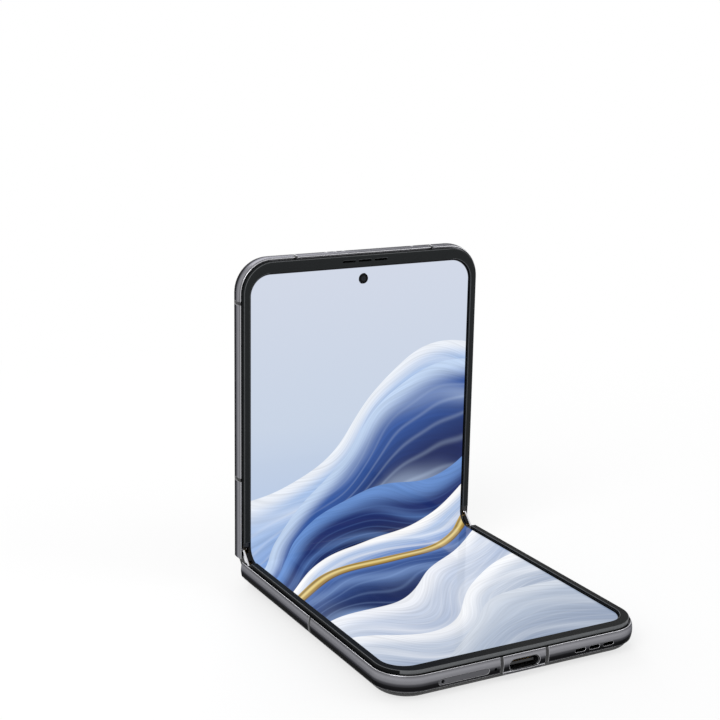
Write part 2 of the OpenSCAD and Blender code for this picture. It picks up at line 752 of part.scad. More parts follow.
module battery_lower() color([0.3, 0.3, 0.32]) at_lower()
    slab(core_bot, cell_top) pad([-cell_x, cell_y], [cell_x, sub_y - 1.5], 2);

module sub_board() color(pcb) at_lower() slab(board_top - board_t, board_top) intersection() {
    plan(4, sub_y);
    pad([2 - side_x, sub_y], [side_x - 2, half_len], 1);
}

module usb_c_port() color(steel) at_lower() translate([0, 0, -port_z]) {
    along_y(usb_y, usb_depth) difference() {
        pill(usb_w + 2 * usb_wall, usb_h + 2 * usb_wall);
        pill(usb_w, usb_h);
    }
    along_y(usb_y - 0.4, 0.4 + e) pill(usb_w + 2 * usb_wall, usb_h + 2 * usb_wall);
    block([-3.35, usb_y - e, -0.35], [3.35, usb_y + usb_depth - 0.9, 0.35]);
}

module sim_socket() color(steel) at_lower() translate([tray_x, 0, -port_z]) difference() {
    block([-tray_body[0] / 2 - 0.5, tray_y - 0.7, -tray_body[1] / 2 - 0.4],
          [tray_body[0] / 2 + 0.5, sock_y, tray_body[1] / 2 + 0.3]);
    block([-tray_body[0] / 2 - 0.1, tray_y - 0.2, -tray_body[1] / 2 - 0.1],
          [tray_body[0] / 2 + 0.1, sock_y + 1, tray_body[1] / 2 + 0.1]);
}

module sim_tray() color(metal) at_lower() translate([tray_x, 0, -port_z]) difference() {
    union() {
        along_y(sock_y + 0.6, band_wall - 0.1) pill(tray_w - 0.16, tray_h - 0.16);
        block([-tray_body[0] / 2, tray_y, -tray_body[1] / 2],
              [tray_body[0] / 2, sock_y + 0.6 + e, tray_body[1] / 2]);
    }
    // seat of the card and the window under it
    block([-4.5, tray_y + 2, -0.3], [4.5, tray_y + 14.5, 2]);
    block([-3.7, tray_y + 3, -2], [3.7, tray_y + 13.5, 2]);
    // hole for the ejector pin
    translate([0.85 - tray_w / 2 + 0.3, 0, 0]) along_y(sock_y + 1, 2) circle(0.45);
}

module sim_tray_seal() color([0.5, 0.1, 0.08]) at_lower() translate([tray_x, 0, -port_z])
    along_y(sock_y + 0.05, 0.5) difference() {
        pill(tray_w - 0.3, tray_h - 0.1);
        square(tray_body, center = true);
    }

module loudspeaker() color(black) at_lower() difference() {
    block([slot_x[0] - 4.2, half_len - 19, board_top + 0.1],
          [slot_x[2] + 4, half_len - 3.5, core_top - 0.55]);
    // mouth behind the slots in the frame
    block([slot_x[0] - 2.4, half_len - 6, -port_z - 0.7], [slot_x[2] + 2.4, half_len, -port_z + 0.6]);
}

module microphone() color(steel) at_lower()
    block([mic_x - 1.2, half_len - 7, board_top + e], [mic_x + 2, half_len - 4.3, board_top + 1.1]);

module vibration_motor() color(steel) at_lower() translate(motor[0]) difference() {
    cube(motor[1]);
    translate([0.4, 0.4, 0.4]) cube(motor[1] - [0.8, 0.8, 0.8]);
}

module vibration_mass() color([0.4, 0.4, 0.4]) at_lower() translate(motor[0])
    translate([0.7, 1.2, 0.7]) cube(motor[1] - [1.4, 2.4, 1.4]);

// ---- Inside the upper half ----

module battery_upper() color([0.3, 0.3, 0.32]) at_upper()
    slab(core_bot, cell_top) pad([-cell_x, cell_y], [cell_x, board_y - 1.5], 2);

module main_board() color(pcb) at_upper() slab(main_top - board_t, main_top) difference() {
    intersection() {
        plan(4, board_y);
        pad([2 - side_x, board_y], [lens_x - house_w / 2 - 2, earpiece_y - 0.4], 1);
    }
    translate([-3.5, front_cam_y - 3.5]) square([7, 9]);
}

module can(a, b) difference() {
    block(a, b);
    block(a + [0.2, 0.2, -1], b - [0.2, 0.2, 0.2]);
}

module shield_cans() color(steel) at_upper() {
    can([5 - side_x, board_y + 4.5, main_top + 0.02], [-10, front_cam_y - 6, cell_top]);
    can([-8.5, board_y + 9, main_top + 0.02], [12, front_cam_y - 6, cell_top]);
    mirror([0, 0, 1]) can([6 - side_x, board_y + 3, board_t - main_top + 0.02],
                          [12, front_cam_y - 8, board_t - main_top + 1.8]);
}

module camera_trim() color(metal) at_upper() {
    slab(glass_top + 0.15, back_z + leather_t) difference() {
        island(0);
        island(0.5);
    }
    slab(glass_top + glass_t, back_z + leather_t) difference() {
        island(0.5 - e);
        island(1.6);
    }
}

module flash_outline(g) translate([flash_x, island_y]) rotate(90) pill(7.4 + 2 * g, 3.2 + 2 * g);

module camera_glass() color(black) at_upper() slab(glass_top, glass_top + glass_t) difference() {
    island(0.55);
    for (p = lens_places) translate(p) circle(sleeve_r + 0.05);
    flash_outline(0.05);
}

module camera_rings() color([0.5, 0.5, 0.52]) at_upper() for (p = lens_places) translate(p)
    difference() {
        union() {
            translate([0, 0, glass_top - ring_rise]) cylinder(r = ring_r, h = ring_rise);
            translate([0, 0, glass_top - e]) cylinder(r = sleeve_r, h = glass_t + 0.1);
        }
        translate([0, 0, glass_top - ring_rise - 1]) cylinder(r = cover_r, h = 1.9);
        translate([0, 0, glass_top - ring_rise]) cylinder(r = cover_r - 0.8, h = 9);
    }

module lens_covers() color([0.05, 0.05, 0.08]) at_upper() for (p = lens_places) translate(p)
    translate([0, 0, glass_top - ring_rise + 0.15]) cylinder(r = cover_r - 0.05, h = 0.75);

module lens_barrel(p) color(black) at_upper() translate(p) difference() {
    translate([0, 0, barrel_top]) cylinder(r = barrel_r, h = -barrel_top - 3.3);
    translate([0, 0, barrel_top - 1]) cylinder(r = barrel_r - 0.8, h = 1.5);
    translate([0, 0, barrel_top - 1]) cylinder(r = barrel_r - 2, h = 2.2);
}
module main_lens() lens_barrel(lens_places[0]);
module wide_lens() lens_barrel(lens_places[1]);

module camera_housings() color(steel) at_upper() for (p = lens_places) translate(p) difference() {
    slab(back_z + 0.05, core_top - 0.3) square(house_w, center = true);
    translate([0, 0, back_z - 1]) cylinder(r = barrel_r + 0.1, h = back_depth - 2);
}

module flash_window() color([0.95, 0.93, 0.8]) at_upper()
    slab(glass_top - 0.1, glass_top + glass_t) flash_outline(0);

module outer_screen() color([0.1, 0.1, 0.25]) at_upper()
    translate([island_cx, island_y, glass_top + glass_t + 0.02]) cylinder(r = outer_screen_r, h = 0.9);

module front_camera() color(black) at_upper() translate([0, front_cam_y, 0]) {
    translate([0, 0, shelf_top - 0.2]) cylinder(r = punch_r - 0.1, h = -shelf_top + 0.12);
    block([-3, -3, -4.6], [3, 3, shelf_top - 0.1]);
}

module earpiece() color(black) at_upper()
    block([-7, earpiece_y, -3.8], [7, half_len - 1.95, shelf_bot - 0.15]);

// Thin board with a dome under each pressing point of the keys
module key_switches() color(pcb) at_upper() {
    face = side_x - 2.6;
    block([face - 0.9, power_y - 4, key_z - 0.8], [face - 0.5, volume_y + 8.5, key_z + 0.5]);
    for (y = [power_y, volume_y - 6.5, volume_y + 6.5]) translate([face - 0.5 - e, y, key_z])
        rotate([0, 90, 0]) cylinder(r = 0.45, h = 0.45);
}

// A key: the bar that shows and a flange that keeps it behind the band
module key_bar(y, len) {
    along_x(side_x - band_wall - 0.3, band_wall + 0.3 + key_proud)
        translate([y, key_z]) pill(len, key_h);
    along_x(side_x - band_wall - 0.65, 0.4) translate([y, key_z]) pill(len + 2, key_h + 0.3);
}

module power_key() color(metal) at_upper() key_bar(power_y, power_len);
module volume_rocker() color(metal) at_upper() key_bar(volume_y, volume_len);

lower_frame();
lower_antenna_breaks();
lower_back_panel();
lower_leather();
lower_rail();
lower_bezel();
lower_mid_plate();
screen_lower();
battery_lower();
sub_board();
usb_c_port();
sim_socket();
sim_tray();
sim_tray_seal();
loudspeaker();
microphone();
vibration_motor();
vibration_mass();
lower_hinge_arms();
lower_hinge_shafts();
lower_gears();
lower_screws();
spine_cover();
spine_end_plates();
hinge_blocks();
friction_discs();
idler_gears_a();
idler_gears_b();
screen_fold();
fold_edge_seals();
hinge_flex();
upper_frame();
upper_antenna_breaks();
upper_back_panel();
upper_leather();
upper_rail();
upper_bezel();
upper_mid_plate();
screen_upper();
battery_upper();
main_board();
shield_cans();
camera_trim();
camera_rings();
camera_glass();
lens_covers();
camera_housings();
main_lens();
wide_lens();
flash_window();
outer_screen();
front_camera();
earpiece();
key_switches();
power_key();
volume_rocker();
upper_hinge_arms();
upper_hinge_shafts();
upper_gears();
upper_screws();
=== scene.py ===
import json
import math

import bpy
from mathutils import Matrix, Vector

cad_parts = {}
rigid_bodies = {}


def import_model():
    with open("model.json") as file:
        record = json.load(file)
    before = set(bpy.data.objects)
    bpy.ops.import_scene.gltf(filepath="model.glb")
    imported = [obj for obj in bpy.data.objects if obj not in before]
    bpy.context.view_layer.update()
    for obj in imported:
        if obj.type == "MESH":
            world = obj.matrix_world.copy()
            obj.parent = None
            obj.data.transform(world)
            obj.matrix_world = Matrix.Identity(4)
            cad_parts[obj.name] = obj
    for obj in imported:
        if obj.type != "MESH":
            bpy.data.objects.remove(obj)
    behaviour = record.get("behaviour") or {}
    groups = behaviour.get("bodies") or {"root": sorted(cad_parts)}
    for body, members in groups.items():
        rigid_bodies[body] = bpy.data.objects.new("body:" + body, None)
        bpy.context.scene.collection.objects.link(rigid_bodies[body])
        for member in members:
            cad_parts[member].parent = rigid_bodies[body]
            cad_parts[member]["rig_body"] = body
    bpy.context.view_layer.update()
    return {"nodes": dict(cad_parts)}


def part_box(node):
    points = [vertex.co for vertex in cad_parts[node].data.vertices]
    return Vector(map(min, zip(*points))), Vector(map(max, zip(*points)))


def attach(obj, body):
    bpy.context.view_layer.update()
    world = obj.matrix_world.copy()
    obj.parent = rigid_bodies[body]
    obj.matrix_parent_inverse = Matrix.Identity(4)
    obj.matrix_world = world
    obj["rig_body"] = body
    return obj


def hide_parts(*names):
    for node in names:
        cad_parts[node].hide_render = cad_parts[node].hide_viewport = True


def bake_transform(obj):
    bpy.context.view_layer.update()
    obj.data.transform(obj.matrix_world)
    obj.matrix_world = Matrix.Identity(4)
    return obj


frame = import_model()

# ---- Studio -------------------------------------------------------------------------------
# The phone stands on a plain white table under a large soft lamp on the left, a weaker one on
# the right and a strip of light behind. None of it belongs to the phone.
white = (1, 1, 1, 1)
middle_of_view = Vector((0, 0.02, 0.04))
camera_turn, camera_dip, camera_roll = math.radians(-28.68), math.radians(13.69), math.radians(1)
bpy.context.scene.view_settings.view_transform = "Standard"

camera_data = bpy.data.cameras.new("camera")
camera_data.lens = 75.945
camera_data.sensor_width = 36
camera_data.clip_start = 0.01
camera = bpy.data.objects.new("camera", camera_data)
bpy.context.scene.collection.objects.link(camera)
camera.location = (-0.199430, -0.321392, 0.161615)
camera.rotation_euler = (
    Matrix.Rotation(camera_turn, 3, "Z")
    @ Matrix.Rotation(math.radians(90) - camera_dip, 3, "X")
    @ Matrix.Rotation(camera_roll, 3, "Z")
).to_euler()
bpy.context.scene.camera = camera

for lamp_name, place, size, power in (
    ("lamp_left", (-0.55, -0.35, 0.6), 0.5, 3.4),
    ("lamp_right", (0.6, -0.45, 0.45), 0.45, 1.5),
    ("lamp_behind", (0.1, 0.75, 0.5), 0.6, 2.6),
):
    lamp_data = bpy.data.lights.new(lamp_name, "AREA")
    lamp_data.size = size
    lamp_data.energy = power
    lamp = bpy.data.objects.new(lamp_name, lamp_data)
    bpy.context.scene.collection.objects.link(lamp)
    lamp.location = place
    lamp.rotation_euler = (Vector(place) - middle_of_view).to_track_quat("Z", "Y").to_euler()


def feed(node, inputs):
    """Wires a node's inputs to other nodes' outputs, or sets them to values."""
    for key, value in inputs.items():
        if isinstance(value, bpy.types.NodeSocket):
            node.id_data.links.new(value, node.inputs[key])
        else:
            node.inputs[key].default_value = value


def new_node(tree, kind, inputs=None):
    """New shader node with its inputs wired or set."""
    node = tree.nodes.new(f"ShaderNode{kind}")
    feed(node, inputs or {})
    return node


def tree_of(*values):
    """Node tree of the first socket among some values."""
    return next(value.id_data for value in values if isinstance(value, bpy.types.NodeSocket))


def calc(operation, *values, clamp=False):
    """Output of a Math node whose inputs are sockets or numbers."""
    node = new_node(tree_of(*values), "Math", dict(enumerate(values)))
    node.operation = operation
    node.use_clamp = clamp
    return node.outputs[0]


def here(tree):
    """The object's own coordinates, in metres."""
    return new_node(tree, "TexCoord").outputs["Object"]


def new_material(name, inputs=None):
    """New material, its node tree and its shader, with the shader's inputs set."""
    material = bpy.data.materials.new(name)
    material.use_nodes = True
    shader = material.node_tree.nodes["Principled BSDF"]
    feed(shader, inputs or {})
    return material, material.node_tree, shader


def new_piece(name, primitive, **options):
    """Object made with one of Blender's own primitives."""
    bpy.ops.object.select_all(action="DESELECT")
    primitive(**options)
    piece = bpy.context.object
    piece.name = name
    return piece


def seen_directly(tree):
    """1 for rays from the camera, off a shiny surface or through glass, and 0 for diffuse light."""
    path = new_node(tree, "LightPath").outputs
    shiny = calc("MAXIMUM", path["Is Camera Ray"], path["Is Glossy Ray"])
    return calc("MAXIMUM", shiny, path["Is Transmission Ray"])


world = bpy.data.worlds.new("white_studio")
world.use_nodes = True
bpy.context.scene.world = world
tree = world.node_tree
tree.nodes.clear()
soft_light = new_node(tree, "Background", {"Color": white, "Strength": 0.62})
white_wall = new_node(tree, "Background", {"Color": white, "Strength": 1})
mix = new_node(tree, "MixShader", {"Fac": seen_directly(tree), 1: soft_light.outputs[0],
                                   2: white_wall.outputs[0]})
new_node(tree, "OutputWorld", {"Surface": mix.outputs[0]})

table = new_piece("table", bpy.ops.mesh.primitive_plane_add, size=4, location=(0, 0, -0.0002))
table_white, tree, shader = new_material("table_white", {"Base Color": (0.86, 0.86, 0.86, 1),
                                                         "Roughness": 0.7})
paper = new_node(tree, "Emission", {"Color": white})
away = new_node(tree, "VectorMath", {0: here(tree)})
away.operation = "LENGTH"
fading = new_node(tree, "MapRange", {"From Min": 0.1, "From Max": 0.32, "To Min": 0.7,
                                     "Value": away.outputs["Value"]})
share = calc("MULTIPLY", seen_directly(tree), fading.outputs["Result"])
mix = new_node(tree, "MixShader", {"Fac": share, 1: shader.outputs[0], 2: paper.outputs[0]})
feed(tree.nodes["Material Output"], {"Surface": mix.outputs[0]})
table.data.materials.append(table_white)

# ---- Lower frame --------------------------------------------------------------------------
# Milled aluminium band with its shelf and hinge wall, bead-blasted and dyed graphite, its two
# outer edges cut bright afterwards. The graphite carries a painted reflection, light on the crown
# and dark towards the back. The machined solid is merged and its edges are broken.


def colour(code):
    """Linear colour of a six-digit screen colour."""
    parts = [int(code[i : i + 2], 16) / 255 for i in (0, 2, 4)]
    return tuple(p / 12.92 if p <= 0.04045 else ((p + 0.055) / 1.055) ** 2.4 for p in parts) + (1,)


def blended(factor, a, b, kind="MIX"):
    """Output of a colour Mix node; a and b are sockets or colours."""
    node = new_node(tree_of(factor, a, b), "Mix")
    node.data_type = "RGBA"
    node.blend_type = kind
    feed(node, {0: factor, 6: a, 7: b})
    return node.outputs[2]


def noise(place, scale, detail=2, result="Fac"):
    """Output of a Noise Texture."""
    node = new_node(place.id_data, "TexNoise", {"Vector": place, "Scale": scale, "Detail": detail})
    return node.outputs[result]


def grey(share):
    """Grey colour of a share of white."""
    return new_node(share.id_data, "CombineColor", {0: share, 1: share, 2: share}).outputs[0]


def axes(place):
    """The three numbers of a place."""
    return new_node(place.id_data, "SeparateXYZ", {0: place}).outputs


def ramp(share, *stops, ease=False):
    """Colour a share of the way along its stops, from 0 to 1; a number there is a grey."""
    node = new_node(share.id_data, "ValToRGB", {"Fac": share})
    if ease:
        node.color_ramp.interpolation = "EASE"
    elements = node.color_ramp.elements
    for position, code in stops:
        stop = elements[0] if position == 0 else elements[-1] if position == 1 else elements.new(position)
        stop.color = colour(code) if isinstance(code, str) else (code, code, code, 1)
    return node.outputs["Color"]


def bumped(height, strength, distance):
    """Normal of a surface with small relief."""
    node = new_node(height.id_data, "Bump", {"Height": height, "Strength": strength, "Distance": distance})
    return node.outputs["Normal"]


def new_group(name, inputs):
    """Group that gives a colour, a roughness and a height, with its entry and its exit."""
    tree = bpy.data.node_groups.new(name, "ShaderNodeTree")
    for label, kind, value in inputs:
        socket = tree.interface.new_socket(label, in_out="INPUT", socket_type=f"NodeSocket{kind}")
        socket.default_value = value
    for label, kind in (("Colour", "Color"), ("Roughness", "Float"), ("Height", "Float")):
        tree.interface.new_socket(label, in_out="OUTPUT", socket_type=f"NodeSocket{kind}")
    return tree, tree.nodes.new("NodeGroupInput").outputs, tree.nodes.new("NodeGroupOutput")


def mottle_group():
    """Group of fine grain and slow mottling in the object's own metres."""
    tree, entry, leave = new_group("mottle", (
        ("Colour", "Color", (0.5, 0.5, 0.5, 1)), ("Grain", "Float", 9000), ("Shade", "Float", 0.1),
        ("Roughness", "Float", 0.4), ("Spread", "Float", 0.1)))
    place = here(tree)
    grain = noise(place, entry["Grain"])
    slow = noise(place, 130, 4)
    swing = calc("SUBTRACT", calc("ADD", grain, slow), 1)
    shade = calc("MULTIPLY_ADD", swing, entry["Shade"], 1)
    feed(leave, {
        "Colour": blended(1.0, entry["Colour"], grey(shade), "MULTIPLY"),
        "Roughness": calc("MULTIPLY_ADD", swing, entry["Spread"], entry["Roughness"]),
        "Height": grain})
    return tree


mottle = mottle_group()


def mottled(shader, code, grain, shade, roughness, spread=0.05, into="Base Color"):
    """Feeds one colour and a roughness into a shader through the mottle group; gives its height."""
    node = new_node(shader.id_data, "Group")
    node.node_tree = mottle
    feed(node, {"Colour": colour(code), "Grain": grain, "Shade": shade, "Roughness": roughness,
                      "Spread": spread})
    feed(shader, {into: node.outputs["Colour"], "Roughness": node.outputs["Roughness"]})
    return node.outputs["Height"]


def finish(name, code, metallic=0.0, roughness=0.4, grain=9000, shade=0.1, spread=0.1, bump=0.15,
           depth=0.00002, coat=0.0, specular=0.5):
    """Material of one colour with the mottle group in its colour, roughness and bump."""
    material, _, shader = new_material(name, {"Metallic": metallic, "Coat Weight": coat,
                                              "Coat Roughness": 0.08, "Specular IOR Level": specular})
    height = mottled(shader, code, grain, shade, roughness, spread)
    feed(shader, {"Normal": bumped(height, bump, depth)})
    return material


def metal(name, code, roughness, grain=14000, shade=0.14, metallic=1, **rest):
    """Finish of a metal, with the finest grain."""
    return finish(name, code, metallic, roughness, grain, shade, **rest)


weld_distance = 0.0000015  # vertices of the machined solid that are nearer than this are one
level_angle = math.radians(0.4)  # faces that differ less than this are one
sharp_angle = math.radians(32)  # edges sharper than this are broken
smooth_angle = math.radians(38)


def start_edit():
    """Enters edit mode with the whole mesh selected."""
    bpy.ops.object.mode_set(mode="EDIT")
    bpy.ops.mesh.select_all(action="SELECT")


def end_edit():
    """Goes back to object mode."""
    bpy.ops.object.mode_set(mode="OBJECT")


def broken_edges(node, name, materials, width, segments=2, only=None, riding=True):
    """Merged copy of a machined part with its sharp edges bevelled; the bevel takes the last material.

    only: test of an edge's middle and outward direction, for parts where not every edge is broken.
    """
    bpy.ops.object.select_all(action="DESELECT")
    source = frame["nodes"][node]
    piece = bpy.data.objects.new(name, source.data.copy())
    bpy.context.scene.collection.objects.link(piece)
    bpy.context.view_layer.objects.active = piece
    piece.select_set(True)
    start_edit()
    bpy.ops.mesh.select_mode(type="EDGE")
    bpy.ops.mesh.remove_doubles(threshold=weld_distance)
    bpy.ops.mesh.dissolve_limited(angle_limit=level_angle)
    bpy.ops.mesh.select_all(action="DESELECT")
    bpy.ops.mesh.edges_select_sharp(sharpness=sharp_angle)
    end_edit()
    weights = piece.data.attributes.new("bevel_weight_edge", "FLOAT", "EDGE").data
    for line in piece.data.edges:
        start, end = (piece.data.vertices[i] for i in line.vertices)
        chosen = only is None or only((start.co + end.co) / 2, start.normal + end.normal)
        weights[line.index].value = float(line.select and chosen)
    piece.data.materials.clear()
    for material in materials:
        piece.data.materials.append(material)
    edge = piece.modifiers.new("edge", "BEVEL")
    edge.width = width
    edge.segments = segments
    edge.limit_method = "WEIGHT"
    edge.use_clamp_overlap = False
    edge.material = len(materials) - 1
    bpy.ops.object.modifier_apply(modifier=edge.name)
    bpy.ops.object.shade_smooth_by_angle(angle=smooth_angle)
    flats = piece.modifiers.new("flats", "WEIGHTED_NORMAL")
    flats.keep_sharp = True
    bpy.ops.object.modifier_apply(modifier=flats.name)
    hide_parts(node)
    if riding:
        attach(piece, source["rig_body"])
    return piece


def band_graphite_painted_reflection(name, axis, front, depth):
    """Graphite metal under a painted reflection: lighter on the crown of the band and dark towards the
    back.
    """
    material = metal(name, "808084", 0.3, metallic=0.9, bump=0.08)
    tree = material.node_tree
    behind = calc("SUBTRACT", axes(here(tree))[axis], front)
    # painted reflection: light on the band's crown and dark towards its back, as the light would fall
    painted_band_reflection = ramp(calc("DIVIDE", behind, depth, clamp=True),
               (0, "5c5c60"), (0.20, "8b8b90"), (0.40, "7c7c81"), (0.56, "434347"), (0.70, "1a1a1c"),
               (0.88, "121214"), (1, "4a4a4d"), ease=True)
    feed(next(node for node in tree.nodes if node.type == "GROUP"), {"Colour": painted_band_reflection})
    feed(tree.nodes["Principled BSDF"], {"Specular Tint": (0.3, 0.3, 0.31, 1)})
    return material


band_depth = 0.0042  # of the painted reflection, from the front rim to the back
corner_radius = 0.0095  # of the bands' outline
core_half_width = 0.0375 - corner_radius
lower_end, lower_rim = -0.04275, 0.0067  # Y of the lower band's end, Z of its front rim
upper_end, upper_rim = 0.091626, 0.042176  # Z of the upper band's end, Y of its front rim
crown_to_rim = 0.0021  # from the middle of a band's depth to its front rim
long_rims = 0.002  # how far in front of or behind that middle the edges of the long rims begin
rim_tolerance = 0.00001
inner_wall = (0.0085, 0.0093)  # of the gap beside the bezel: radii at a corner that it lies between
opening_reach = 0.0003  # how far below the outside an opening's bright edge may lie
mic_hole, mic_radius = Vector((-0.0084, 0.004)), 0.0005  # X and Z of the hole that is left sharp
bright_cut = metal("bright_cut_edge", "c4c4c8", 0.24, shade=0.05, bump=0.02)
# painted shade for the inner wall of the gap beside the bezel
gap_painted_shade = finish("gap_painted_shade", "0c0c0e", metallic=0.4, roughness=0.5, grain=14000, specular=0.1)


def band_edge(across, along, height, outward, reach):
    """True for the two long rims of a band, and round openings within reach of its outside."""
    depth = corner_radius - math.hypot(max(abs(across) - core_half_width, 0), max(corner_radius - along, 0))
    return outward > 0 and (abs(height) > long_rims or depth < reach)


def dress_band(band, axis, end, inward, front):
    """Cuts the narrow front rim bright, and paints shade, near black, on the inner wall beside the bezel.
    """
    for polygon in band.data.polygons:
        x, along = polygon.center.x, (polygon.center[axis] - end) * inward
        out = Vector((x - max(-core_half_width, min(core_half_width, x)), min(along - corner_radius, 0)))
        facing = Vector((polygon.normal.x, polygon.normal[axis] * inward))
        if abs(polygon.center[3 - axis] - front) < rim_tolerance:
            polygon.material_index = 2
        elif inner_wall[0] < out.length < inner_wall[1] and facing.dot(out) < 0:
            # the inner wall facing the bezel takes the painted shade
            polygon.material_index = 1


lower_band = broken_edges(
    "lower_frame", "lower_band",
    [band_graphite_painted_reflection("lower_graphite_painted_reflection", 2, lower_rim, -band_depth), gap_painted_shade, bright_cut], 0.00007,
    only=lambda p, n: band_edge(p.x, p.y - lower_end, p.z + crown_to_rim - lower_rim,
                                n.x * p.x + n.y * p.y, opening_reach)
    and (Vector((p.x, p.z)) - mic_hole).length > mic_radius)
dress_band(lower_band, 1, lower_end, 1, lower_rim)

# ---- Antenna breaks -----------------------------------------------------------------------
# Black plastic injected into the cuts of both bands, so that the metal pieces serve as aerials.
# It is machined flush with the band.
break_plastic = finish("break_plastic", "1b1b1d", roughness=0.5, grain=11000, shade=0.12, bump=0.2)
for half in ("lower", "upper"):
    broken_edges(f"{half}_antenna_breaks", f"{half}_break_fill", [break_plastic],
                 0.00003, 1)

# ---- Leather backs ------------------------------------------------------------------------
# Embossed man-made leather, wrapped round the margin of each back panel and glued down. Its
# pebbles are flat islands between fine creases, and the finish is nearly matt.


def leather_group():
    """Group of flat pebbles between creases, with a little scatter in their shade."""
    tree, entry, leave = new_group("pebbles", (
        ("Pebble", "Color", (0.04, 0.04, 0.04, 1)), ("Crease", "Color", (0.02, 0.02, 0.02, 1)),
        ("Scale", "Float", 1500)))
    place = here(tree)
    drift = noise(place, 700, result="Color")
    pushed = new_node(tree, "VectorMath", {0: drift, 1: (0.0006, 0.0006, 0.0006), 2: place})
    pushed.operation = "MULTIPLY_ADD"
    drawn = new_node(tree, "VectorMath", {0: pushed.outputs[0], 1: (0.6, 1.15, 1.15)})
    drawn.operation = "MULTIPLY"  # the grain is drawn out across the phone
    cell = {"Vector": drawn.outputs[0], "Scale": entry["Scale"]}
    cells = new_node(tree, "TexVoronoi", cell)
    cells.feature = "DISTANCE_TO_EDGE"
    scatter = new_node(tree, "TexVoronoi", cell)
    fine = noise(place, 9000, 3)
    pebble = calc("MULTIPLY", cells.outputs["Distance"], 2.6, clamp=True)
    pebble = calc("SINE", calc("MULTIPLY", pebble, 1.57))
    tone = calc("MULTIPLY_ADD", fine, 0.5, calc("MULTIPLY", pebble, 0.7), clamp=True)
    mixed = blended(tone, entry["Crease"], entry["Pebble"])
    lot = new_node(tree, "SeparateColor", {0: scatter.outputs["Color"]})
    shade = calc("MULTIPLY_ADD", lot.outputs[0], 0.2, 0.9)
    feed(leave, {
        "Colour": blended(1.0, mixed, grey(shade), "MULTIPLY"),
        "Roughness": calc("MULTIPLY_ADD", pebble, -0.14, 0.68),
        "Height": calc("MULTIPLY_ADD", fine, 0.25, pebble)})
    return tree


pebbles = leather_group()


def distance(a, b):
    """Length of the diagonal whose two sides are given."""
    return calc("SQRT", calc("ADD", calc("MULTIPLY", a, a), calc("MULTIPLY", b, b)))


def leather_material(name, around_island):
    """Black leather; round the island, a painted highlight along the window and a painted shadow at the
    foot of the raised step.
    """
    material, tree, shader = new_material(name, {"Specular IOR Level": 0.35})
    grain = new_node(tree, "Group")
    grain.node_tree = pebbles
    feed(grain, {"Pebble": colour("434344"), "Crease": colour("1f1f20"), "Scale": 2000})
    hide = grain.outputs["Colour"]
    if around_island:
        low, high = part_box("camera_glass")
        round_r = (high.z - low.z) / 2
        step_width = 0.0017
        fade_width = 0.004
        plain = 0.6  # share of the stops' brightness that leaves the leather as it is
        place = axes(here(tree))
        beside = calc("MINIMUM", calc("SUBTRACT", place[0], low.x + round_r), 0)
        above = calc("SUBTRACT", place[2], (low.z + high.z) / 2)
        beyond_foot = calc("SUBTRACT", distance(beside, above), round_r + step_width)
        # painted light of the raised step: a painted highlight along the window and a painted shadow at its
        # foot
        step_highlight_and_shadow = ramp(calc("MULTIPLY_ADD", beyond_foot, 1 / fade_width, 0.5, clamp=True),
                      (0, plain), (0.08, plain), (0.12, 1.0), (0.22, 0.9), (0.38, 0.6), (0.49, 0.32),
                      (0.54, 0.12), (0.64, 0.14), (0.74, 0.45), (1, plain))
        fading = calc("DIVIDE", calc("SUBTRACT", round_r * 0.9, above), round_r * 0.4,
                      clamp=True)
        painted_step_light = blended(fading, (plain, plain, plain, 1), step_highlight_and_shadow)
        painted_step_light = blended(1.0, painted_step_light, (1.667, 1.667, 1.667, 1), "MULTIPLY")
        hide = blended(1.0, hide, painted_step_light, "MULTIPLY")
    feed(shader, {"Base Color": hide, "Roughness": grain.outputs["Roughness"],
                        "Normal": bumped(grain.outputs["Height"], 0.6, 0.0001)})
    return material


port_edge_y, port_edge_side = -0.041, 0.007  # the leather's edge is left sharp beside the port
lower_hide = leather_material("lower_leather_hide", False)
upper_hide = leather_material("upper_leather_hide", True)
broken_edges("lower_leather", "lower_leather_cover", [lower_hide], 0.00012, 3,
             only=lambda p, n: p.y > port_edge_y or abs(p.x) > port_edge_side)
broken_edges("upper_leather", "upper_leather_cover", [upper_hide], 0.00012, 3)

# ---- Back panels and mid plates -----------------------------------------------------------
# Glass-filled nylon shells under the leather, and thin steel plates that the bendable screen
# is glued to. Neither shows in use.
panel_plastic = finish("panel_plastic", "232326", roughness=0.55, grain=8000, shade=0.15, bump=0.25)
plate_steel = metal("plate_steel", "8c8c90", 0.36, grain=5000, shade=0.12)
for half in ("lower", "upper"):
    broken_edges(f"{half}_back_panel", f"{half}_back_shell", [panel_plastic], 0.00005, 1)
    broken_edges(f"{half}_mid_plate", f"{half}_support_plate", [plate_steel], 0.00004, 1)

# ---- Rails beside the fold ----------------------------------------------------------------
# Bars of the frame's aluminium at the inner end of each back, brushed along the fold and
# polished on their two long edges. Each is bonded to its panel under the leather.
rail_metal = metal("rail_metal", "77777b", 0.3, grain=12000, metallic=0.95)
for half in ("lower", "upper"):
    broken_edges(f"{half}_rail", f"{half}_fold_rail", [rail_metal, bright_cut], 0.00013, 3)

# ---- Bezels -------------------------------------------------------------------------------
# Moulded soft black frames stuck over the screen's margin. They stand proud of it, so that the
# two halves of the screen never touch when the phone is shut.
bezel_rubber = finish("bezel_rubber", "1f2122", roughness=0.45, grain=12000, shade=0.12, spread=0.12,
                      bump=0.12, specular=0.06)
# a darker copy of the same rubber for the lower bezel: painted shade
bezel_rubber_shaded_copy = finish("bezel_rubber_shaded_copy", "111213", roughness=0.45, grain=12000, shade=0.12, spread=0.12,
                    bump=0.12, specular=0.03)
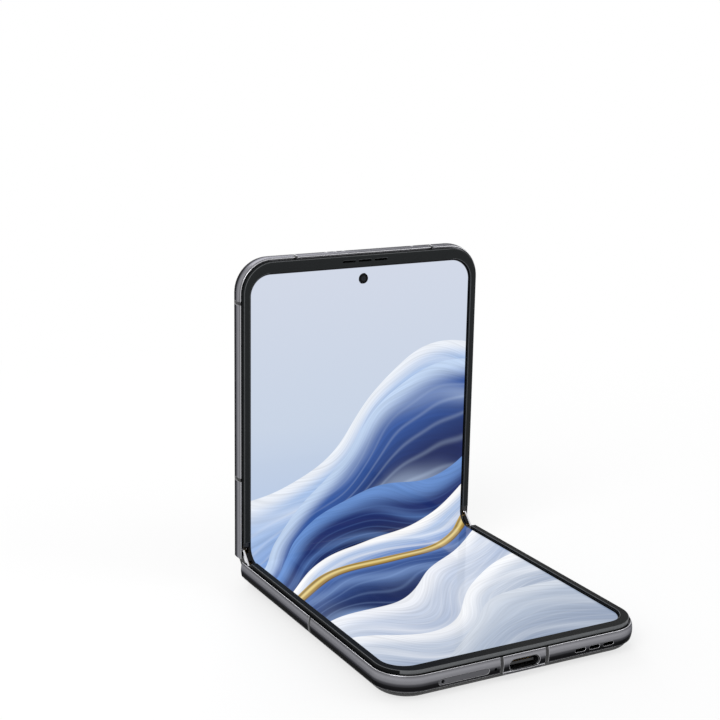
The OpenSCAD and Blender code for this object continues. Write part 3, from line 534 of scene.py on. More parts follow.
# painted highlight on the bevelled edges of both bezels
bezel_painted_edge_highlight = finish("bezel_painted_edge_highlight", "46484a", grain=12000, shade=0.1, bump=0.05,
                    specular=0.2)
# painted light on the lower bezel's near wall: the same rubber drawn light grey
bezel_painted_near_wall_light = finish("bezel_painted_near_wall_light", "5e6062", grain=12000, shade=0.12, bump=0.05,
                     specular=0.15)
gap_top = 0.00675  # Z up to which the gap's shadow hides the near wall
gap_fade = 0.00025
tree = bezel_painted_near_wall_light.node_tree
# painted shadow: the foot of the near wall fades to near black beside the gap
above_gap = calc("MULTIPLY_ADD", axes(here(tree))[2], 1 / gap_fade, -gap_top / gap_fade,
                 clamp=True)
near_wall_painted_light = tree.nodes["Principled BSDF"].inputs["Base Color"].links[0].from_socket
feed(tree.nodes["Principled BSDF"], {
    "Base Color": blended(above_gap, (0.004, 0.004, 0.004, 1), near_wall_painted_light)})
earpiece_low, earpiece_high, earpiece_side = 0.0848, 0.0893, 0.02  # its slots are left sharp
near_wall_y, near_wall_facing = -0.038, -0.75
for half, face in (("lower", bezel_rubber_shaded_copy), ("upper", bezel_rubber)):
    bezel = broken_edges(
        f"{half}_bezel", f"{half}_screen_bezel", [face, bezel_painted_near_wall_light, bezel_painted_edge_highlight],
        0.00014, 3,
        only=lambda p, n: not (earpiece_low < p.z < earpiece_high and abs(p.x) < earpiece_side))
    for polygon in bezel.data.polygons:  # the near wall of the lower bezel takes the painted light
        if half == "lower" and polygon.center.y < near_wall_y and polygon.normal.y < near_wall_facing:
            polygon.material_index = 1

# ---- Parts inside the lower half ----------------------------------------------------------
# Battery in foil, green board, card socket and tray, loudspeaker, microphone and the shaking
# motor. The tray, its red seal and the motor's mass keep their own bodies.
battery_foil = finish("battery_foil", "3a3b40", metallic=0.5, roughness=0.42, grain=900, shade=0.2,
                      bump=0.5, depth=0.0001)
board_green = finish("board_green", "16402c", roughness=0.35, grain=2600, shade=0.6, spread=0.2, bump=0.3)
stamped_steel = metal("stamped_steel", "9b9ba0", 0.32, grain=6000, shade=0.12)
black_plastic = finish("black_plastic", "151517", roughness=0.45, shade=0.15, bump=0.2)
tray_metal = metal("tray_metal", "58585c", 0.32, shade=0.15, metallic=0.85)
seal_silicone = finish("seal_silicone", "7a1d18", roughness=0.5, grain=7000, shade=0.15)
tungsten = metal("tungsten", "55555a", 0.5, grain=9000, shade=0.3, bump=0.4)
for node, name, slot, material, width in (
    ("battery_lower", "lower_cell", "battery_foil", battery_foil, 0.0003),
    ("sub_board", "lower_board", "circuit_board", board_green, 0.00004),
    ("usb_c_port", "socket_shell", "polished_steel", stamped_steel, 0.00006),
    ("sim_socket", "card_socket", "polished_steel", stamped_steel, 0.00004),
    ("sim_tray", "card_tray", "graphite_metal", tray_metal, 0.00003),
    ("sim_tray_seal", "card_tray_ring", "seal_rubber", seal_silicone, 0.00002),
    ("loudspeaker", "loudspeaker_box", "black_plastic", black_plastic, 0.0001),
    ("microphone", "microphone_can", "polished_steel", stamped_steel, 0.00004),
    ("vibration_motor", "motor_can", "polished_steel", stamped_steel, 0.00006),
    ("vibration_mass", "motor_mass", "polished_steel", tungsten, 0.00006),
):
    broken_edges(node, name, [material], width)

# The socket's shell is a darker copy of the stamped steel, painted shade inside the port, and its tongue is
# black plastic
tongue_z = 0.004
tongue_half_width, tongue_half_height = 0.00345, 0.00045
shell = bpy.data.objects["socket_shell"]
shell.data.materials[0] = metal("shell_steel_painted_shade", "5d5d61", 0.4, grain=6000, shade=0.12)
shell.data.materials.append(black_plastic)
for polygon in shell.data.polygons:
    if abs(polygon.center.z - tongue_z) < tongue_half_height and abs(polygon.center.x) < tongue_half_width:
        polygon.material_index = 1

# ---- Hinge --------------------------------------------------------------------------------
# Two steel shafts in a graphite spine, with arms screwed to each frame, four timing gears and
# spring washers at each end. Polished end plates show as small bright caps beside the fold.
spine_metal = metal("spine_metal", "5a5a5e", 0.3, shade=0.15, metallic=0.9, bump=0.08)
polished_steel = metal("polished_steel", "d2d2d6", 0.12, grain=9000, shade=0.06, bump=0.05)
hinge_steel = metal("hinge_steel", "84848a", 0.34, grain=7000)
spring_bronze = metal("spring_bronze", "8d7650", 0.3, grain=7000)
black_screw = finish("black_screw", "1d1d20", metallic=0.7, shade=0.14)
for node, name, slot, materials, width in (
    ("spine_cover", "spine", "spine_metal", [spine_metal, bright_cut], 0.00008),
    ("hinge_blocks", "shaft_bearings", "hinge_steel", [hinge_steel], 0.00004),
    ("friction_discs", "spring_washers", "polished_steel", [spring_bronze], 0.00003),
    ("idler_gears_a", "idlers_lower", "polished_steel", [spring_bronze], 0.00002),
    ("idler_gears_b", "idlers_upper", "polished_steel", [spring_bronze], 0.00002),
):
    broken_edges(node, name, materials, width)
for half in ("lower", "upper"):
    for node, name, slot, material, width in (
        ("hinge_arms", "arms", "hinge_steel", hinge_steel, 0.00005),
        ("hinge_shafts", "shafts", "polished_steel", polished_steel, 0.00005),
        ("gears", "timing_gears", "polished_steel", spring_bronze, 0.00002),
        ("screws", "arm_screws", "dark_screws", black_screw, 0.00004),
    ):
        broken_edges(f"{half}_{node}", f"{half}_{name}", [material], width)

# ---- Spine end plates ---------------------------------------------------------------------
# Steel plates pressed into the ends of the spine. The cap that shows beside the fold is
# polished; the rest is dipped black like the screws.
cap_dip = finish("cap_dip", "0f0f11", metallic=0.5, specular=0.2)
broken_side, broken_rise = 0.0365, -0.0335  # the outer edges of the caps, as X and as Z less Y
caps = broken_edges("spine_end_plates", "spine_caps", [cap_dip, cap_dip], 0.00008,
                    only=lambda p, n: abs(p.x) > broken_side and p.z - p.y < broken_rise)
fold_point = Vector((0, 0.040257, 0.008618))  # middle of the spine on the flat screen's level
spine_up = Vector((0, -1, 1)).normalized()
cap_height = -0.0013
cap_thickness = 0.0005
cap_side = max(vertex.co.x for vertex in caps.data.vertices) - cap_thickness
start_edit()
bpy.ops.mesh.bisect(plane_co=fold_point + spine_up * cap_height, plane_no=spine_up)
for side in (-cap_side, cap_side):
    bpy.ops.mesh.select_all(action="SELECT")
    bpy.ops.mesh.bisect(plane_co=(side, 0, 0), plane_no=(1, 0, 0))
end_edit()
caps.data.materials.append(polished_steel)
for face in caps.data.polygons:
    if (face.center - fold_point).dot(spine_up) > cap_height and abs(face.center.x) > cap_side:
        face.material_index = 2

# ---- Bendable screen ----------------------------------------------------------------------
# One sheet of film over a lit panel on thin steel, glued to both mid plates and free between
# them. It is made as two pieces that meet in the middle of the fold. The picture is our own:
# soft folds of silk in blue and white with one gilt edge.
lower_top = 0.007  # height of the lower half's screen surface
upper_front = 0.041876  # the same of the upper half, as Y
fold_radius = 0.004
sheet_half_width = 0.03495
sheet_end = 0.0817 - 0.000874  # from the crossing of the two screen planes to the sheet's end
sheet_corner = 0.00645
sheet_thickness = 0.0007
nearby = 0.0001  # how far a corner of the sheet may lie from the line that picks it out
camera_hole_z = 0.083926
camera_hole_radius = 0.00155
picture_half_width = 34.3  # millimetres, as the picture is worked out in them
picture_half_length = 79.3
picture_corner = 5.8
map_span = 170  # millimetres across the whole of the picture's map
sky_height = 80
ripple_rate, ripple_height = 0.021, 24  # of the slow sway that all the folds share
edge_sharpness = 6  # of a fold against what is behind it
outline_sharpness = 12

half_bend = math.radians(45)  # share of the fold that each piece takes
bend_start = upper_front - fold_radius
fold_mid = Vector((0, bend_start + fold_radius * math.sin(half_bend),
                   lower_top + fold_radius * (1 - math.cos(half_bend))))


def cross_fold(piece, side):
    """Bakes a piece's transform into its mesh, the same on either side of the fold."""
    if side < 0:
        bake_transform(piece)
    else:
        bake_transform(piece)


def half_sheet(name):
    """Half of the screen: a plane with round outer corners, spun through 45 degrees at the fold."""
    piece = new_piece(name, bpy.ops.mesh.primitive_plane_add, size=1)
    far = upper_front - sheet_end
    bpy.ops.transform.resize(value=(2 * sheet_half_width, bend_start - far, 1))
    bpy.ops.transform.translate(value=(0, (bend_start + far) / 2, lower_top))
    bpy.ops.object.transform_apply()
    bpy.ops.object.mode_set(mode="EDIT")
    bpy.ops.mesh.select_mode(type="VERT")
    bpy.ops.mesh.select_all(action="DESELECT")
    end_edit()
    for vertex in piece.data.vertices:
        vertex.select = vertex.co.y < far + nearby
    bpy.ops.object.mode_set(mode="EDIT")
    bpy.ops.mesh.bevel(offset=sheet_corner, offset_type="OFFSET", segments=14, affect="VERTICES")
    bpy.ops.mesh.select_all(action="DESELECT")
    bpy.ops.mesh.select_mode(type="EDGE")
    end_edit()
    for edge in piece.data.edges:
        edge.select = all(piece.data.vertices[i].co.y > bend_start - nearby for i in edge.vertices)
    bpy.ops.object.mode_set(mode="EDIT")
    bpy.ops.mesh.spin(steps=12, angle=-half_bend, axis=(1, 0, 0),
                      center=(0, bend_start, lower_top + fold_radius))
    end_edit()
    return piece


def picture_place(co, side):
    """Place of a point of the sheet on the picture's map, from its distance along the sheet."""
    if side > 0:  # turned onto the lower half
        co = Vector((co.x, upper_front - (co.z - lower_top), lower_top + upper_front - co.y))
    along = fold_radius * half_bend
    if co.y <= bend_start:
        along += bend_start - co.y
    else:
        along -= fold_radius * math.atan2(co.y - bend_start, lower_top + fold_radius - co.z)
    return 0.5 + co.x * 1000 / map_span, 0.5 + side * along * 1000 / map_span


def map_sheet(piece, side):
    """Writes the picture's map into the sheet's own UV map."""
    layer = piece.data.uv_layers.active
    layer.name = "picture_map"
    for loop in piece.data.loops:
        layer.data[loop.index].uv = picture_place(piece.data.vertices[loop.vertex_index].co, side)


def joined(x, y, z=0):
    """Place made of three numbers."""
    return new_node(x.id_data, "CombineXYZ", {0: x, 1: y, 2: z}).outputs[0]


def wave(place, power=None):
    """Sine of a place; with a power, from 0 to 1 and that much sharper."""
    sine = calc("SINE", place)
    if power is None:
        return sine
    return calc("POWER", calc("MULTIPLY_ADD", sine, 0.5, 0.5), power)


screen_glow, tree, shader = new_material("screen_picture", {
    "Base Color": (0.004, 0.004, 0.005, 1), "Specular IOR Level": 0.12, "Emission Strength": 0.95})
chart = new_node(tree, "UVMap")
chart.uv_map = "picture_map"
chart = axes(chart.outputs["UV"])
across = calc("MULTIPLY", calc("SUBTRACT", chart[0], 0.5), map_span)
along = calc("MULTIPLY", calc("SUBTRACT", chart[1], 0.5), map_span)
flow = joined(across, along)
ripple = calc("MULTIPLY_ADD", noise(flow, ripple_rate, 0.5), ripple_height, -ripple_height / 2)

# Sky above the silk, from pale lavender at the top to a soft blue
picture = ramp(calc("DIVIDE", along, sky_height, clamp=True),
               (0, "b3c8e8"), (0.45, "ccd8ea"), (1, "d5dceb"))

# Each fold: height at the middle, slope, wave height, wave rate, start of the wave, depth over
# which it fades, three colours from its crest down, and the number of pleats
hem_fold = -15  # height of the fold with the gold hem, bright in its middle
hem_colours = (0.045, "9a7c34"), (0.10, "ecd58a"), (0.17, "b08f3e"), (0.215, "6e5722"), (0.235, "4d6fb2")
for height, slope, swell, rate, start, depth, crest, body, foot, pleats in (
    (36, 0.50, 7, 0.070, 0.4, 20, "eef3fb", "a9c3ea", "6f95d2", 0.55),
    (25, 0.72, 9, 0.058, 1.2, 24, "c3d7f3", "32579f", "17265c", 0.42),
    (10, 0.60, 8, 0.075, 2.2, 22, "6890d0", "1a2c69", "101a42", 0.50),
    (-4, 0.78, 8, 0.060, 2.9, 18, "ffffff", "b4c8e8", "5f83c2", 0.62),
    (hem_fold, 0.52, 7, 0.082, 3.6, 22, "c9a94f", "3a5590", "182655", 0.45),
    (-31, 0.66, 6, 0.066, 4.4, 24, "f3f5fa", "c8d2e4", "8ea3c6", 0.52),
    (-48, 0.40, 6, 0.078, 5.3, 20, "f4f6fa", "c2ccdc", "97a6bf", 0.60),
    (-63, 0.46, 5, 0.070, 0.9, 22, "ccd4e0", "a9b6ca", "8c9bb4", 0.48),
):
    gilt = height == hem_fold
    line = wave(calc("MULTIPLY_ADD", across, rate, start))
    line = calc("MULTIPLY_ADD", line, swell, height)
    line = calc("ADD", calc("MULTIPLY_ADD", across, slope, line), ripple)
    below = calc("SUBTRACT", line, along)
    inside = calc("MULTIPLY", below, edge_sharpness, clamp=True)
    edge_colours = hem_colours if gilt else ((0.05, crest),)
    fade = ramp(calc("DIVIDE", below, depth, clamp=True),
                (0, crest), *edge_colours, (0.34, body), (1, foot), ease=True)
    lie = calc("MULTIPLY_ADD", across, -0.12, calc("MULTIPLY", below, pleats))
    lie = calc("ADD", lie, calc("MULTIPLY", ripple, 0.5))
    broad = calc("MULTIPLY", wave(lie, 4), 0.4)
    thin = wave(calc("MULTIPLY_ADD", across, 0.35, calc("MULTIPLY", lie, 4.3)), 9)
    lit = calc("MULTIPLY_ADD", thin, 0.16, broad)
    lit = calc("MULTIPLY", lit, calc("DIVIDE", below, depth * 0.5, clamp=True))
    thread = joined(calc("MULTIPLY", across, 0.05), calc("MULTIPLY", lie, 3.2), height)
    sheen = calc("MULTIPLY_ADD", noise(thread, 1, 4), 1.0, 0.5)
    cloth = blended(0.55, fade, grey(sheen), "MULTIPLY")
    cloth = blended(lit, cloth, colour("93b2e4" if gilt else crest))
    picture = blended(inside, picture, cloth)

# The picture's outline: a rounded rectangle, dark outside it
beyond = distance(*(
    calc("MAXIMUM", calc("SUBTRACT", calc("ABSOLUTE", place), half - picture_corner), 0)
    for place, half in ((across, picture_half_width), (along, picture_half_length))))
within = calc("MULTIPLY", calc("SUBTRACT", picture_corner, beyond), outline_sharpness, clamp=True)
pixels = calc("MULTIPLY_ADD", noise(flow, 9, 1), 0.03, 0.985)
within = calc("MULTIPLY", within, pixels)
feed(shader, {
    "Emission Color": blended(within, (0, 0, 0, 1), picture),
    "Roughness": calc("MULTIPLY_ADD", noise(here(tree), 90), 0.06, 0.06)})

backing_steel = metal("backing_steel", "38383c", 0.4, grain=9000, shade=0.12, metallic=0.9)
for name, side, nodes in (("screen_sheet_lower", -1, ("screen_lower", "screen_fold")),
                          ("screen_sheet_upper", 1, ("screen_upper",))):
    sheet = half_sheet(name)
    start_edit()
    bpy.ops.mesh.remove_doubles(threshold=weld_distance)
    bpy.ops.mesh.normals_make_consistent(inside=False)
    end_edit()
    if sheet.data.polygons[0].normal.z < 0:
        sheet.data.flip_normals()
    if side > 0:  # half a turn about the line that halves the angle between the two screens
        corner = Vector((0, upper_front, lower_top))
        sheet.data.transform(Matrix.Translation(corner)
                             @ Matrix.Rotation(math.pi, 4, Vector((0, -1, 1)))
                             @ Matrix.Translation(-corner))
    map_sheet(sheet, side)
    sheet.data.materials.append(screen_glow)
    sheet.data.materials.append(backing_steel)
    thick = sheet.modifiers.new("thick", "SOLIDIFY")
    thick.thickness = sheet_thickness
    thick.offset = -1
    thick.material_offset = 1
    thick.material_offset_rim = 1
    bpy.ops.object.modifier_apply(modifier=thick.name)
    if side > 0:  # the hole in front of the camera
        drill = new_piece("drill", bpy.ops.mesh.primitive_cylinder_add, vertices=64, depth=0.004,
                          radius=camera_hole_radius, rotation=(math.pi / 2, 0, 0),
                          location=(0, upper_front, camera_hole_z))
        bpy.ops.object.select_all(action="DESELECT")
        bpy.context.view_layer.objects.active = sheet
        hole = sheet.modifiers.new("hole", "BOOLEAN")
        hole.operation = "DIFFERENCE"
        hole.object = drill
        bpy.ops.object.modifier_apply(modifier=hole.name)
        bpy.data.objects.remove(drill)
        map_sheet(sheet, side)
    sheet.select_set(True)
    bpy.ops.object.shade_smooth_by_angle(angle=math.radians(30))
    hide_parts(*nodes)
    cross_fold(sheet, side)

# ---- Soft parts across the fold -----------------------------------------------------------
# Black silicone strips close the edge of the screen between the bezels, and an amber ribbon
# cable joins the two boards. Each is cut at the middle of the fold.
seal_rubber = finish("seal_rubber", "161617", roughness=0.55, shade=0.12, bump=0.2)
ribbon_amber = finish("ribbon_amber", "a8641c", roughness=0.3, grain=4000, shade=0.2, coat=0.4)
fold_cut = Vector((0, 1, 1)).normalized()
for node, slot, material, width in (("fold_edge_seals", "seal_rubber", seal_rubber, 0.00006),
                                    ("hinge_flex", "flex_film", ribbon_amber, 0.00001)):
    for name, side in ((f"{node}_below", -1), (f"{node}_above", 1)):
        piece = broken_edges(node, name, [material], width, riding=False)
        start_edit()
        bpy.ops.mesh.bisect(plane_co=fold_mid, plane_no=fold_cut, use_fill=True,
                            clear_outer=side < 0, clear_inner=side > 0)
        end_edit()
        cross_fold(piece, side)

# ---- Upper frame --------------------------------------------------------------------------
# The same milled and dyed band as the lower half's, with holes for the microphones in its far
# end and slots for the keys in its right side.
upper_core_z = 0.045  # middle of the upper half
key_side = 0.03  # X beyond which the slots of the keys are left unbroken
hole_reach = 0.0001
upper_band = broken_edges(
    "upper_frame", "upper_band",
    [band_graphite_painted_reflection("upper_graphite_painted_reflection", 1, upper_rim, band_depth), gap_painted_shade, bright_cut], 0.00009,
    only=lambda p, n: band_edge(p.x, upper_end - p.z, p.y - crown_to_rim - upper_rim,
                                n.x * p.x + n.z * (p.z - upper_core_z),
                                hole_reach if p.x < key_side else 0))
dress_band(upper_band, 2, upper_end, -1, upper_rim)

# ---- Parts inside the upper half ----------------------------------------------------------
# Battery in foil, main board with stamped shield cans over its chips, steel housings round the
# lenses, earpiece, and the small board of the key switches.
for node, name, slot, material, width in (
    ("battery_upper", "upper_cell", "battery_foil", battery_foil, 0.0003),
    ("main_board", "upper_board", "circuit_board", board_green, 0.00004),
    ("shield_cans", "board_cans", "polished_steel", stamped_steel, 0.00005),
    ("camera_housings", "lens_housings", "polished_steel", stamped_steel, 0.0001),
    ("earpiece", "earpiece_box", "black_plastic", black_plastic, 0.0001),
    ("key_switches", "switch_board", "circuit_board", board_green, 0.00002),
):
    broken_edges(node, name, [material], width)

# ---- Keys ---------------------------------------------------------------------------------
# Machined aluminium bars in the graphite of the band, each with a crowned face and a polished
# rim. A flange behind the band keeps them in.
key_metal = metal("key_metal", "515155", 0.3, metallic=0.9)
for node, name in (("power_key", "power_bar"), ("volume_rocker", "volume_bar")):
    broken_edges(node, name, [key_metal, bright_cut], 0.00005, 3)

# ---- Camera island ------------------------------------------------------------------------
# A black glass window in a graphite rim, with a ring pressed in round each lens. The glass is
# polished flat and its edge is ground to a small bevel.
rim_metal = metal("rim_metal", "3c3c3f", 0.28, metallic=0.9)
ring_metal = metal("ring_metal", "1b1b1d", 0.22, shade=0.12, metallic=0.9)
ring_bright = metal("ring_bright", "b8b8bc", 0.16, shade=0.08)
broken_edges("camera_trim", "island_rim", [rim_metal, bright_cut], 0.00008, 3)
broken_edges("camera_rings", "lens_rings", [ring_metal, ring_bright], 0.00016, 4)

# ---- Outer glass and round display --------------------------------------------------------
# One sheet of black-printed glass covers the island. A round display is bonded behind it, and
# its pixels are drawn on the glass: arcs of coloured light beside plain digits.
dial_low, dial_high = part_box("outer_screen")
dial_x, dial_z = (dial_low.x + dial_high.x) / 2, (dial_low.z + dial_high.z) / 2
dial_radius = (dial_high.x - dial_low.x) * 1000 / 2  # millimetres, as the arcs are worked out in them
glass_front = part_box("camera_glass")[1].y
arcs_inside, arcs_margin = 4.2, 0.5  # millimetres from the dial's middle, and from its edge

island_glass, tree, shader = new_material("island_glass", {
    "Emission Strength": 1, "Specular IOR Level": 0.08})
place = here(tree)
right = calc("MULTIPLY", calc("SUBTRACT", axes(place)[0], dial_x), -1000)
up = calc("MULTIPLY", calc("SUBTRACT", axes(place)[2], dial_z), 1000)
reach = distance(right, up)
bearing = calc("ARCTAN2", up, calc("MULTIPLY", right, -1))
swirl = noise(place, 170)
bent_reach = calc("MULTIPLY_ADD", swirl, 3.4, reach)
strand = wave(calc("MULTIPLY_ADD", bearing, 1.9, calc("MULTIPLY", bent_reach, 2.5)), 1.7)
side = calc("COSINE", calc("MULTIPLY", bearing, 0.93))
side = calc("MULTIPLY", calc("SUBTRACT", side, 0.22), 1.7, clamp=True)
ring_in = calc("MULTIPLY", calc("SUBTRACT", reach, arcs_inside), 0.3, clamp=True)
ring_out = calc("MULTIPLY", calc("SUBTRACT", dial_radius - arcs_margin, reach), 2.5, clamp=True)
glow = calc("MULTIPLY", calc("MULTIPLY", strand, side),
            calc("MULTIPLY", ring_in, ring_out))
hue = calc("MULTIPLY_ADD", up, 0.036, calc("MULTIPLY_ADD", swirl, 0.5, 0.25), clamp=True)
hue = ramp(hue, (0, "f08a3c"), (0.24, "ef6a6f"), (0.42, "c46fb4"), (0.60, "4a5fd6"),
           (0.80, "2f9be8"), (1, "7fd0ff"))
mottled(shader, "060607", 1200, 0.15, 0.06)
feed(shader, {"Emission Color": blended(glow, (0, 0, 0, 1), hue)})
broken_edges("camera_glass", "island_window", [island_glass], 0.00012, 3)

display_panel = finish("display_panel", "0c0c10", roughness=0.2, grain=3000, shade=0.2)
broken_edges("outer_screen", "round_display", [display_panel], 0.00005)

# ---- Digits on the round display ----------------------------------------------------------
# Lit pixels of the clock, with a small row of digits and a charge mark under them. They are
# flat shapes on the front of the glass.


def lit_material(name, code):
    """Pixels of one colour, lit behind dark glass."""
    material, _, shader = new_material(name, {
        "Base Color": (0.01, 0.01, 0.01, 1), "Emission Strength": 1})
    mottled(shader, code, 20000, 0.05, 0.15, into="Emission Color")
    return material


def set_upright(piece, place, turned=True):
    """Turns a piece that lies flat to face backwards, or forwards, and puts it in its place."""
    piece.rotation_euler = (math.pi / 2, 0, math.pi if turned else 0)
    piece.location = place
    bpy.ops.object.transform_apply()


def belongs(piece, material, body):
    """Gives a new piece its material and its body."""
    piece.data.materials.append(material)
    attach(piece, body)


lit_white = lit_material("lit_white", "ffffff")
lit_green = lit_material("lit_green", "53d66a")
on_glass = glass_front + 0.00001
digit_x = dial_x - 0.0056
mark_width, mark_height, mark_corner = 0.0024, 0.0012, 0.0003
for name, words, size, weight, aside, up in (
    ("hour_digits", "10", 0.0106, 0.00032, 0, 0.0041),
    ("minute_digits", "24", 0.0106, 0.00032, 0, -0.0062),
    ("date_digits", "06  24", 0.0026, 0.00004, 0, -0.0093),
    ("charge_digits", "80%", 0.0024, 0.00004, -0.0018, -0.0125),
):
    digits = new_piece(name, bpy.ops.object.text_add)
    digits.data.body = words
    digits.data.align_x = "CENTER"
    digits.data.size = size
    digits.data.offset = weight
    bpy.ops.object.convert(target="MESH")
    set_upright(digits, (digit_x + aside, on_glass, dial_z + up))
    belongs(digits, lit_white, "upper_half")

charge_mark = new_piece("charge_mark", bpy.ops.mesh.primitive_plane_add, size=1)
bpy.ops.transform.resize(value=(mark_width, mark_height, 1))
bpy.ops.object.transform_apply()
start_edit()
bpy.ops.mesh.bevel(offset=mark_corner, segments=4, affect="VERTICES")
end_edit()
set_upright(charge_mark, (digit_x + 0.0026, on_glass, dial_z - 0.0117))
belongs(charge_mark, lit_green, "upper_half")

# ---- Rear lenses --------------------------------------------------------------------------
# Each lens is a black barrel that slides to focus, with a domed and coated front element. A
# ribbed black baffle closes the gap round it, and a flat cover glass sits in the ring. The
# highlight in each front element and the coloured rings of its coating are painted reflections.
cover_glass, _, shader = new_material("cover_glass", {"Transmission Weight": 1, "IOR": 1.12})
mottled(shader, "d4dbe6", 700, 0.04, 0.01, 0.01)
broken_edges("lens_covers", "cover_glasses", [cover_glass], 0.00008)

barrel_black = finish("barrel_black", "0d0d0f", roughness=0.34, shade=0.15, bump=0.02, specular=0.12)
for kind in ("main", "wide"):
    broken_edges(f"{kind}_lens", f"{kind}_barrel", [barrel_black], 0.0001, 3)


def lens_glass_painted_reflection(name, centre, radius, spot, inner, middle, outer):
    """Dark polished glass with painted reflections: a painted highlight in the middle of a lens and painted
    rings of the coating's coloured reflection outwards from it.
    """
    material, tree, shader = new_material(name, {
        "Coat Weight": 0.12, "Coat Roughness": 0.02, "Specular IOR Level": 0.15})
    away = new_node(tree, "VectorMath", {0: here(tree), 1: centre})
    away.operation = "DISTANCE"
    share = calc("DIVIDE", away.outputs["Value"], radius, clamp=True)
    feed(shader, {
        "Base Color": ramp(share, (0, spot), (0.09, spot), (0.2, inner), (0.44, inner), (0.5, middle),
                           (0.6, middle), (0.66, inner), (1, outer)),
        "Roughness": calc("MULTIPLY_ADD", noise(here(tree), 1500), 0.05, 0.02)})
    return material


def lens_dome(name, centre, radius, rise, turned, material, body):
    """Domed glass: a disc inset again and again, each ring a little higher than the last."""
    piece = new_piece(name, bpy.ops.mesh.primitive_circle_add, vertices=64, radius=radius,
                      fill_type="NGON")
    start_edit()
    rings = 9
    for i in range(rings):
        lean, next_lean = (math.radians(90) * ring / rings for ring in (i, i + 1))
        step = radius * (math.cos(lean) - math.cos(next_lean))
        bpy.ops.mesh.inset(thickness=step if i < rings - 1 else step * 0.8, depth=0)
        bpy.ops.transform.translate(value=(0, 0, rise * (math.sin(next_lean) - math.sin(lean))))
    end_edit()
    bpy.ops.object.shade_smooth()
    set_upright(piece, centre, turned)
    belongs(piece, material, body)


baffle_black = finish("baffle_black", "141416", shade=0.15, bump=0.02, specular=0.15)
baffle_radius = 0.00522
baffle_out = Vector((0, 0.00028, 0))  # from the barrel's face
rib = ((0.0003, 0), (0.00001, -0.00012))  # inset and depth of a rib's two faces
element_radius = 0.003
element_out = Vector((0, -0.00045, 0))
# per lens: its kind, the painted highlight in the middle, the dark glass, the painted ring of the coating's
# reflection and the outer glass
for kind, spot, inner, middle, outer in (
    ("main", "3f7fc4", "0a0d14", "182a44", "08080a"),
    ("wide", "6c7396", "0b0a10", "231f3c", "08080a"),
):
    low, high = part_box(f"{kind}_lens")
    face_middle = (low + high) / 2
    face_middle.y = high.y
    painted_lens_reflection = lens_glass_painted_reflection(f"{kind}_coating", face_middle, element_radius, spot, inner, middle, outer)
    lens_dome(f"{kind}_front_element", face_middle + element_out, element_radius, 0.0004, True, painted_lens_reflection,
              f"{kind}_lens")
    baffle = new_piece(f"{kind}_baffle", bpy.ops.mesh.primitive_circle_add, vertices=96,
                       radius=baffle_radius, fill_type="NGON")
    start_edit()
    for width, depth in rib * 3 + rib[:1]:
        bpy.ops.mesh.inset(thickness=width, depth=depth)
    bpy.ops.mesh.delete(type="FACE")
    end_edit()
    bpy.ops.object.shade_smooth_by_angle(angle=math.radians(30))
    set_upright(baffle, face_middle + baffle_out)
    belongs(baffle, baffle_black, "upper_half")

# ---- Flash --------------------------------------------------------------------------------
# Two light-emitting diodes under a frosted window with a fine ring lens moulded over each. The
# yellow of the phosphor shows through, and the window has a weak painted glow in its colours.
flash_low, flash_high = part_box("flash_window")
flash_x, _, flash_z = (flash_low + flash_high) / 2
flash_pitch = 0.0019  # from the middle of the window to a diode
flash_radius = 0.0021
ring_rate = 26000  # of the ring lens, in radians to the metre
frosted, tree, shader = new_material("frosted_flash_painted_glow", {"Coat Weight": 0.5, "Emission Strength": 0.12})
place = axes(here(tree))
right = calc("SUBTRACT", place[0], flash_x)
up = calc("ABSOLUTE", calc("SUBTRACT", place[2], flash_z))
reach = distance(right, calc("SUBTRACT", up, flash_pitch))
spot = ramp(calc("DIVIDE", reach, flash_radius, clamp=True),
            (0, "dccb6a"), (0.42, "dfd8a4"), (0.62, "d3d4ca"), (1, "b9bcae"))
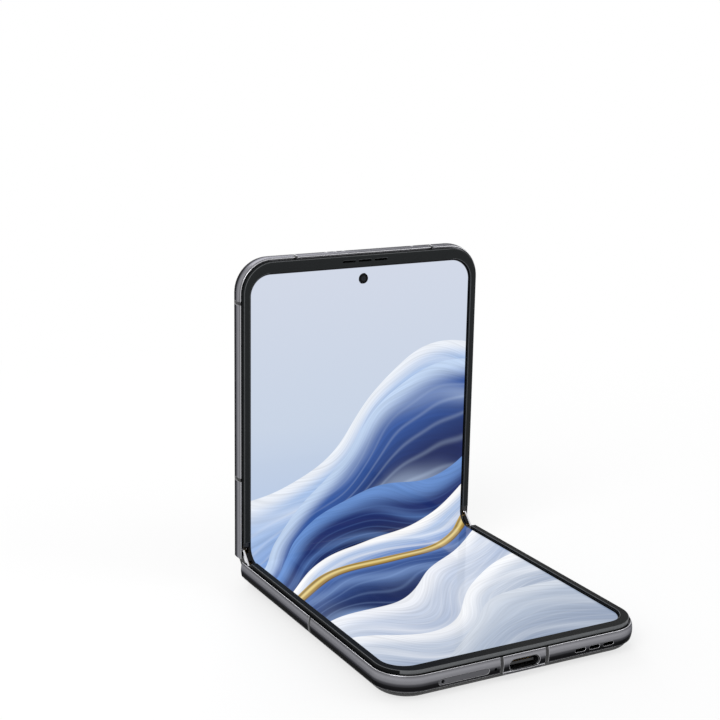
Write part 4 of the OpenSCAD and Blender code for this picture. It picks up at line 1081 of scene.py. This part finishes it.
# the phosphor's colours, also fed in as a weak painted glow
feed(shader, {
    "Base Color": spot, "Emission Color": spot,
    "Normal": bumped(wave(calc("MULTIPLY", reach, ring_rate)), 0.4, 0.00003),
    "Roughness": calc("MULTIPLY_ADD", noise(here(tree), 6000), 0.15, 0.2)})
broken_edges("flash_window", "flash_lens", [frosted], 0.00012, 3)

# ---- Front camera -------------------------------------------------------------------------
# A small black barrel in the hole of the screen, under the film, with a coated front element
# the size of a grain of rice.
eye = Vector((0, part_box("front_camera")[0].y, camera_hole_z))
eye_radius = 0.0008
front_black = finish("front_black", "060607", roughness=0.2, shade=0.12, bump=0.05, specular=0.08)
broken_edges("front_camera", "front_barrel", [front_black], 0.00006, 3)
# painted highlight and painted ring of coloured reflection on the front element
eye_painted_lens_reflection = lens_glass_painted_reflection("front_painted_lens_reflection", eye, eye_radius, "10161f", "06080d", "141d2b", "060607")
lens_dome("front_element", eye + Vector((0, 0.00001, 0)), eye_radius, 0.00007, False, eye_painted_lens_reflection,
          "upper_half")

# ---- Contacts of the charging socket ------------------------------------------------------
# Gold-plated copper strips moulded into both faces of the tongue, twelve to a side at half a
# millimetre from one to the next.
contact_count = 12
contact_pitch = 0.0005
contact_height = 0.00036  # above and below the middle of the tongue
contact_size = (0.00026, 0.0036, 0.00003)
contact_depth = 0.0031  # from the port's mouth to the middle of a contact
contact_row = -(contact_count - 1) / 2 * contact_pitch  # X of the first
contact_gold = metal("contact_gold", "d3a24a", 0.25, grain=9000, shade=0.12)
strip = new_piece("socket_contacts", bpy.ops.mesh.primitive_cube_add, size=1)
bpy.ops.transform.resize(value=contact_size)
bpy.ops.object.transform_apply()
start_edit()
bpy.ops.mesh.bevel(offset=0.00001, segments=2)
bpy.ops.transform.translate(value=(contact_row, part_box("usb_c_port")[0].y + contact_depth,
                                   tongue_z + contact_height))
end_edit()
for name, count, step in (("row", contact_count, (contact_pitch, 0, 0)),
                          ("sides", 2, (0, 0, -2 * contact_height))):
    copies = strip.modifiers.new(name, "ARRAY")
    copies.count = count
    copies.use_relative_offset = False
    copies.use_constant_offset = True
    copies.constant_offset_displace = step
    bpy.ops.object.modifier_apply(modifier=copies.name)
belongs(strip, contact_gold, "lower_half")
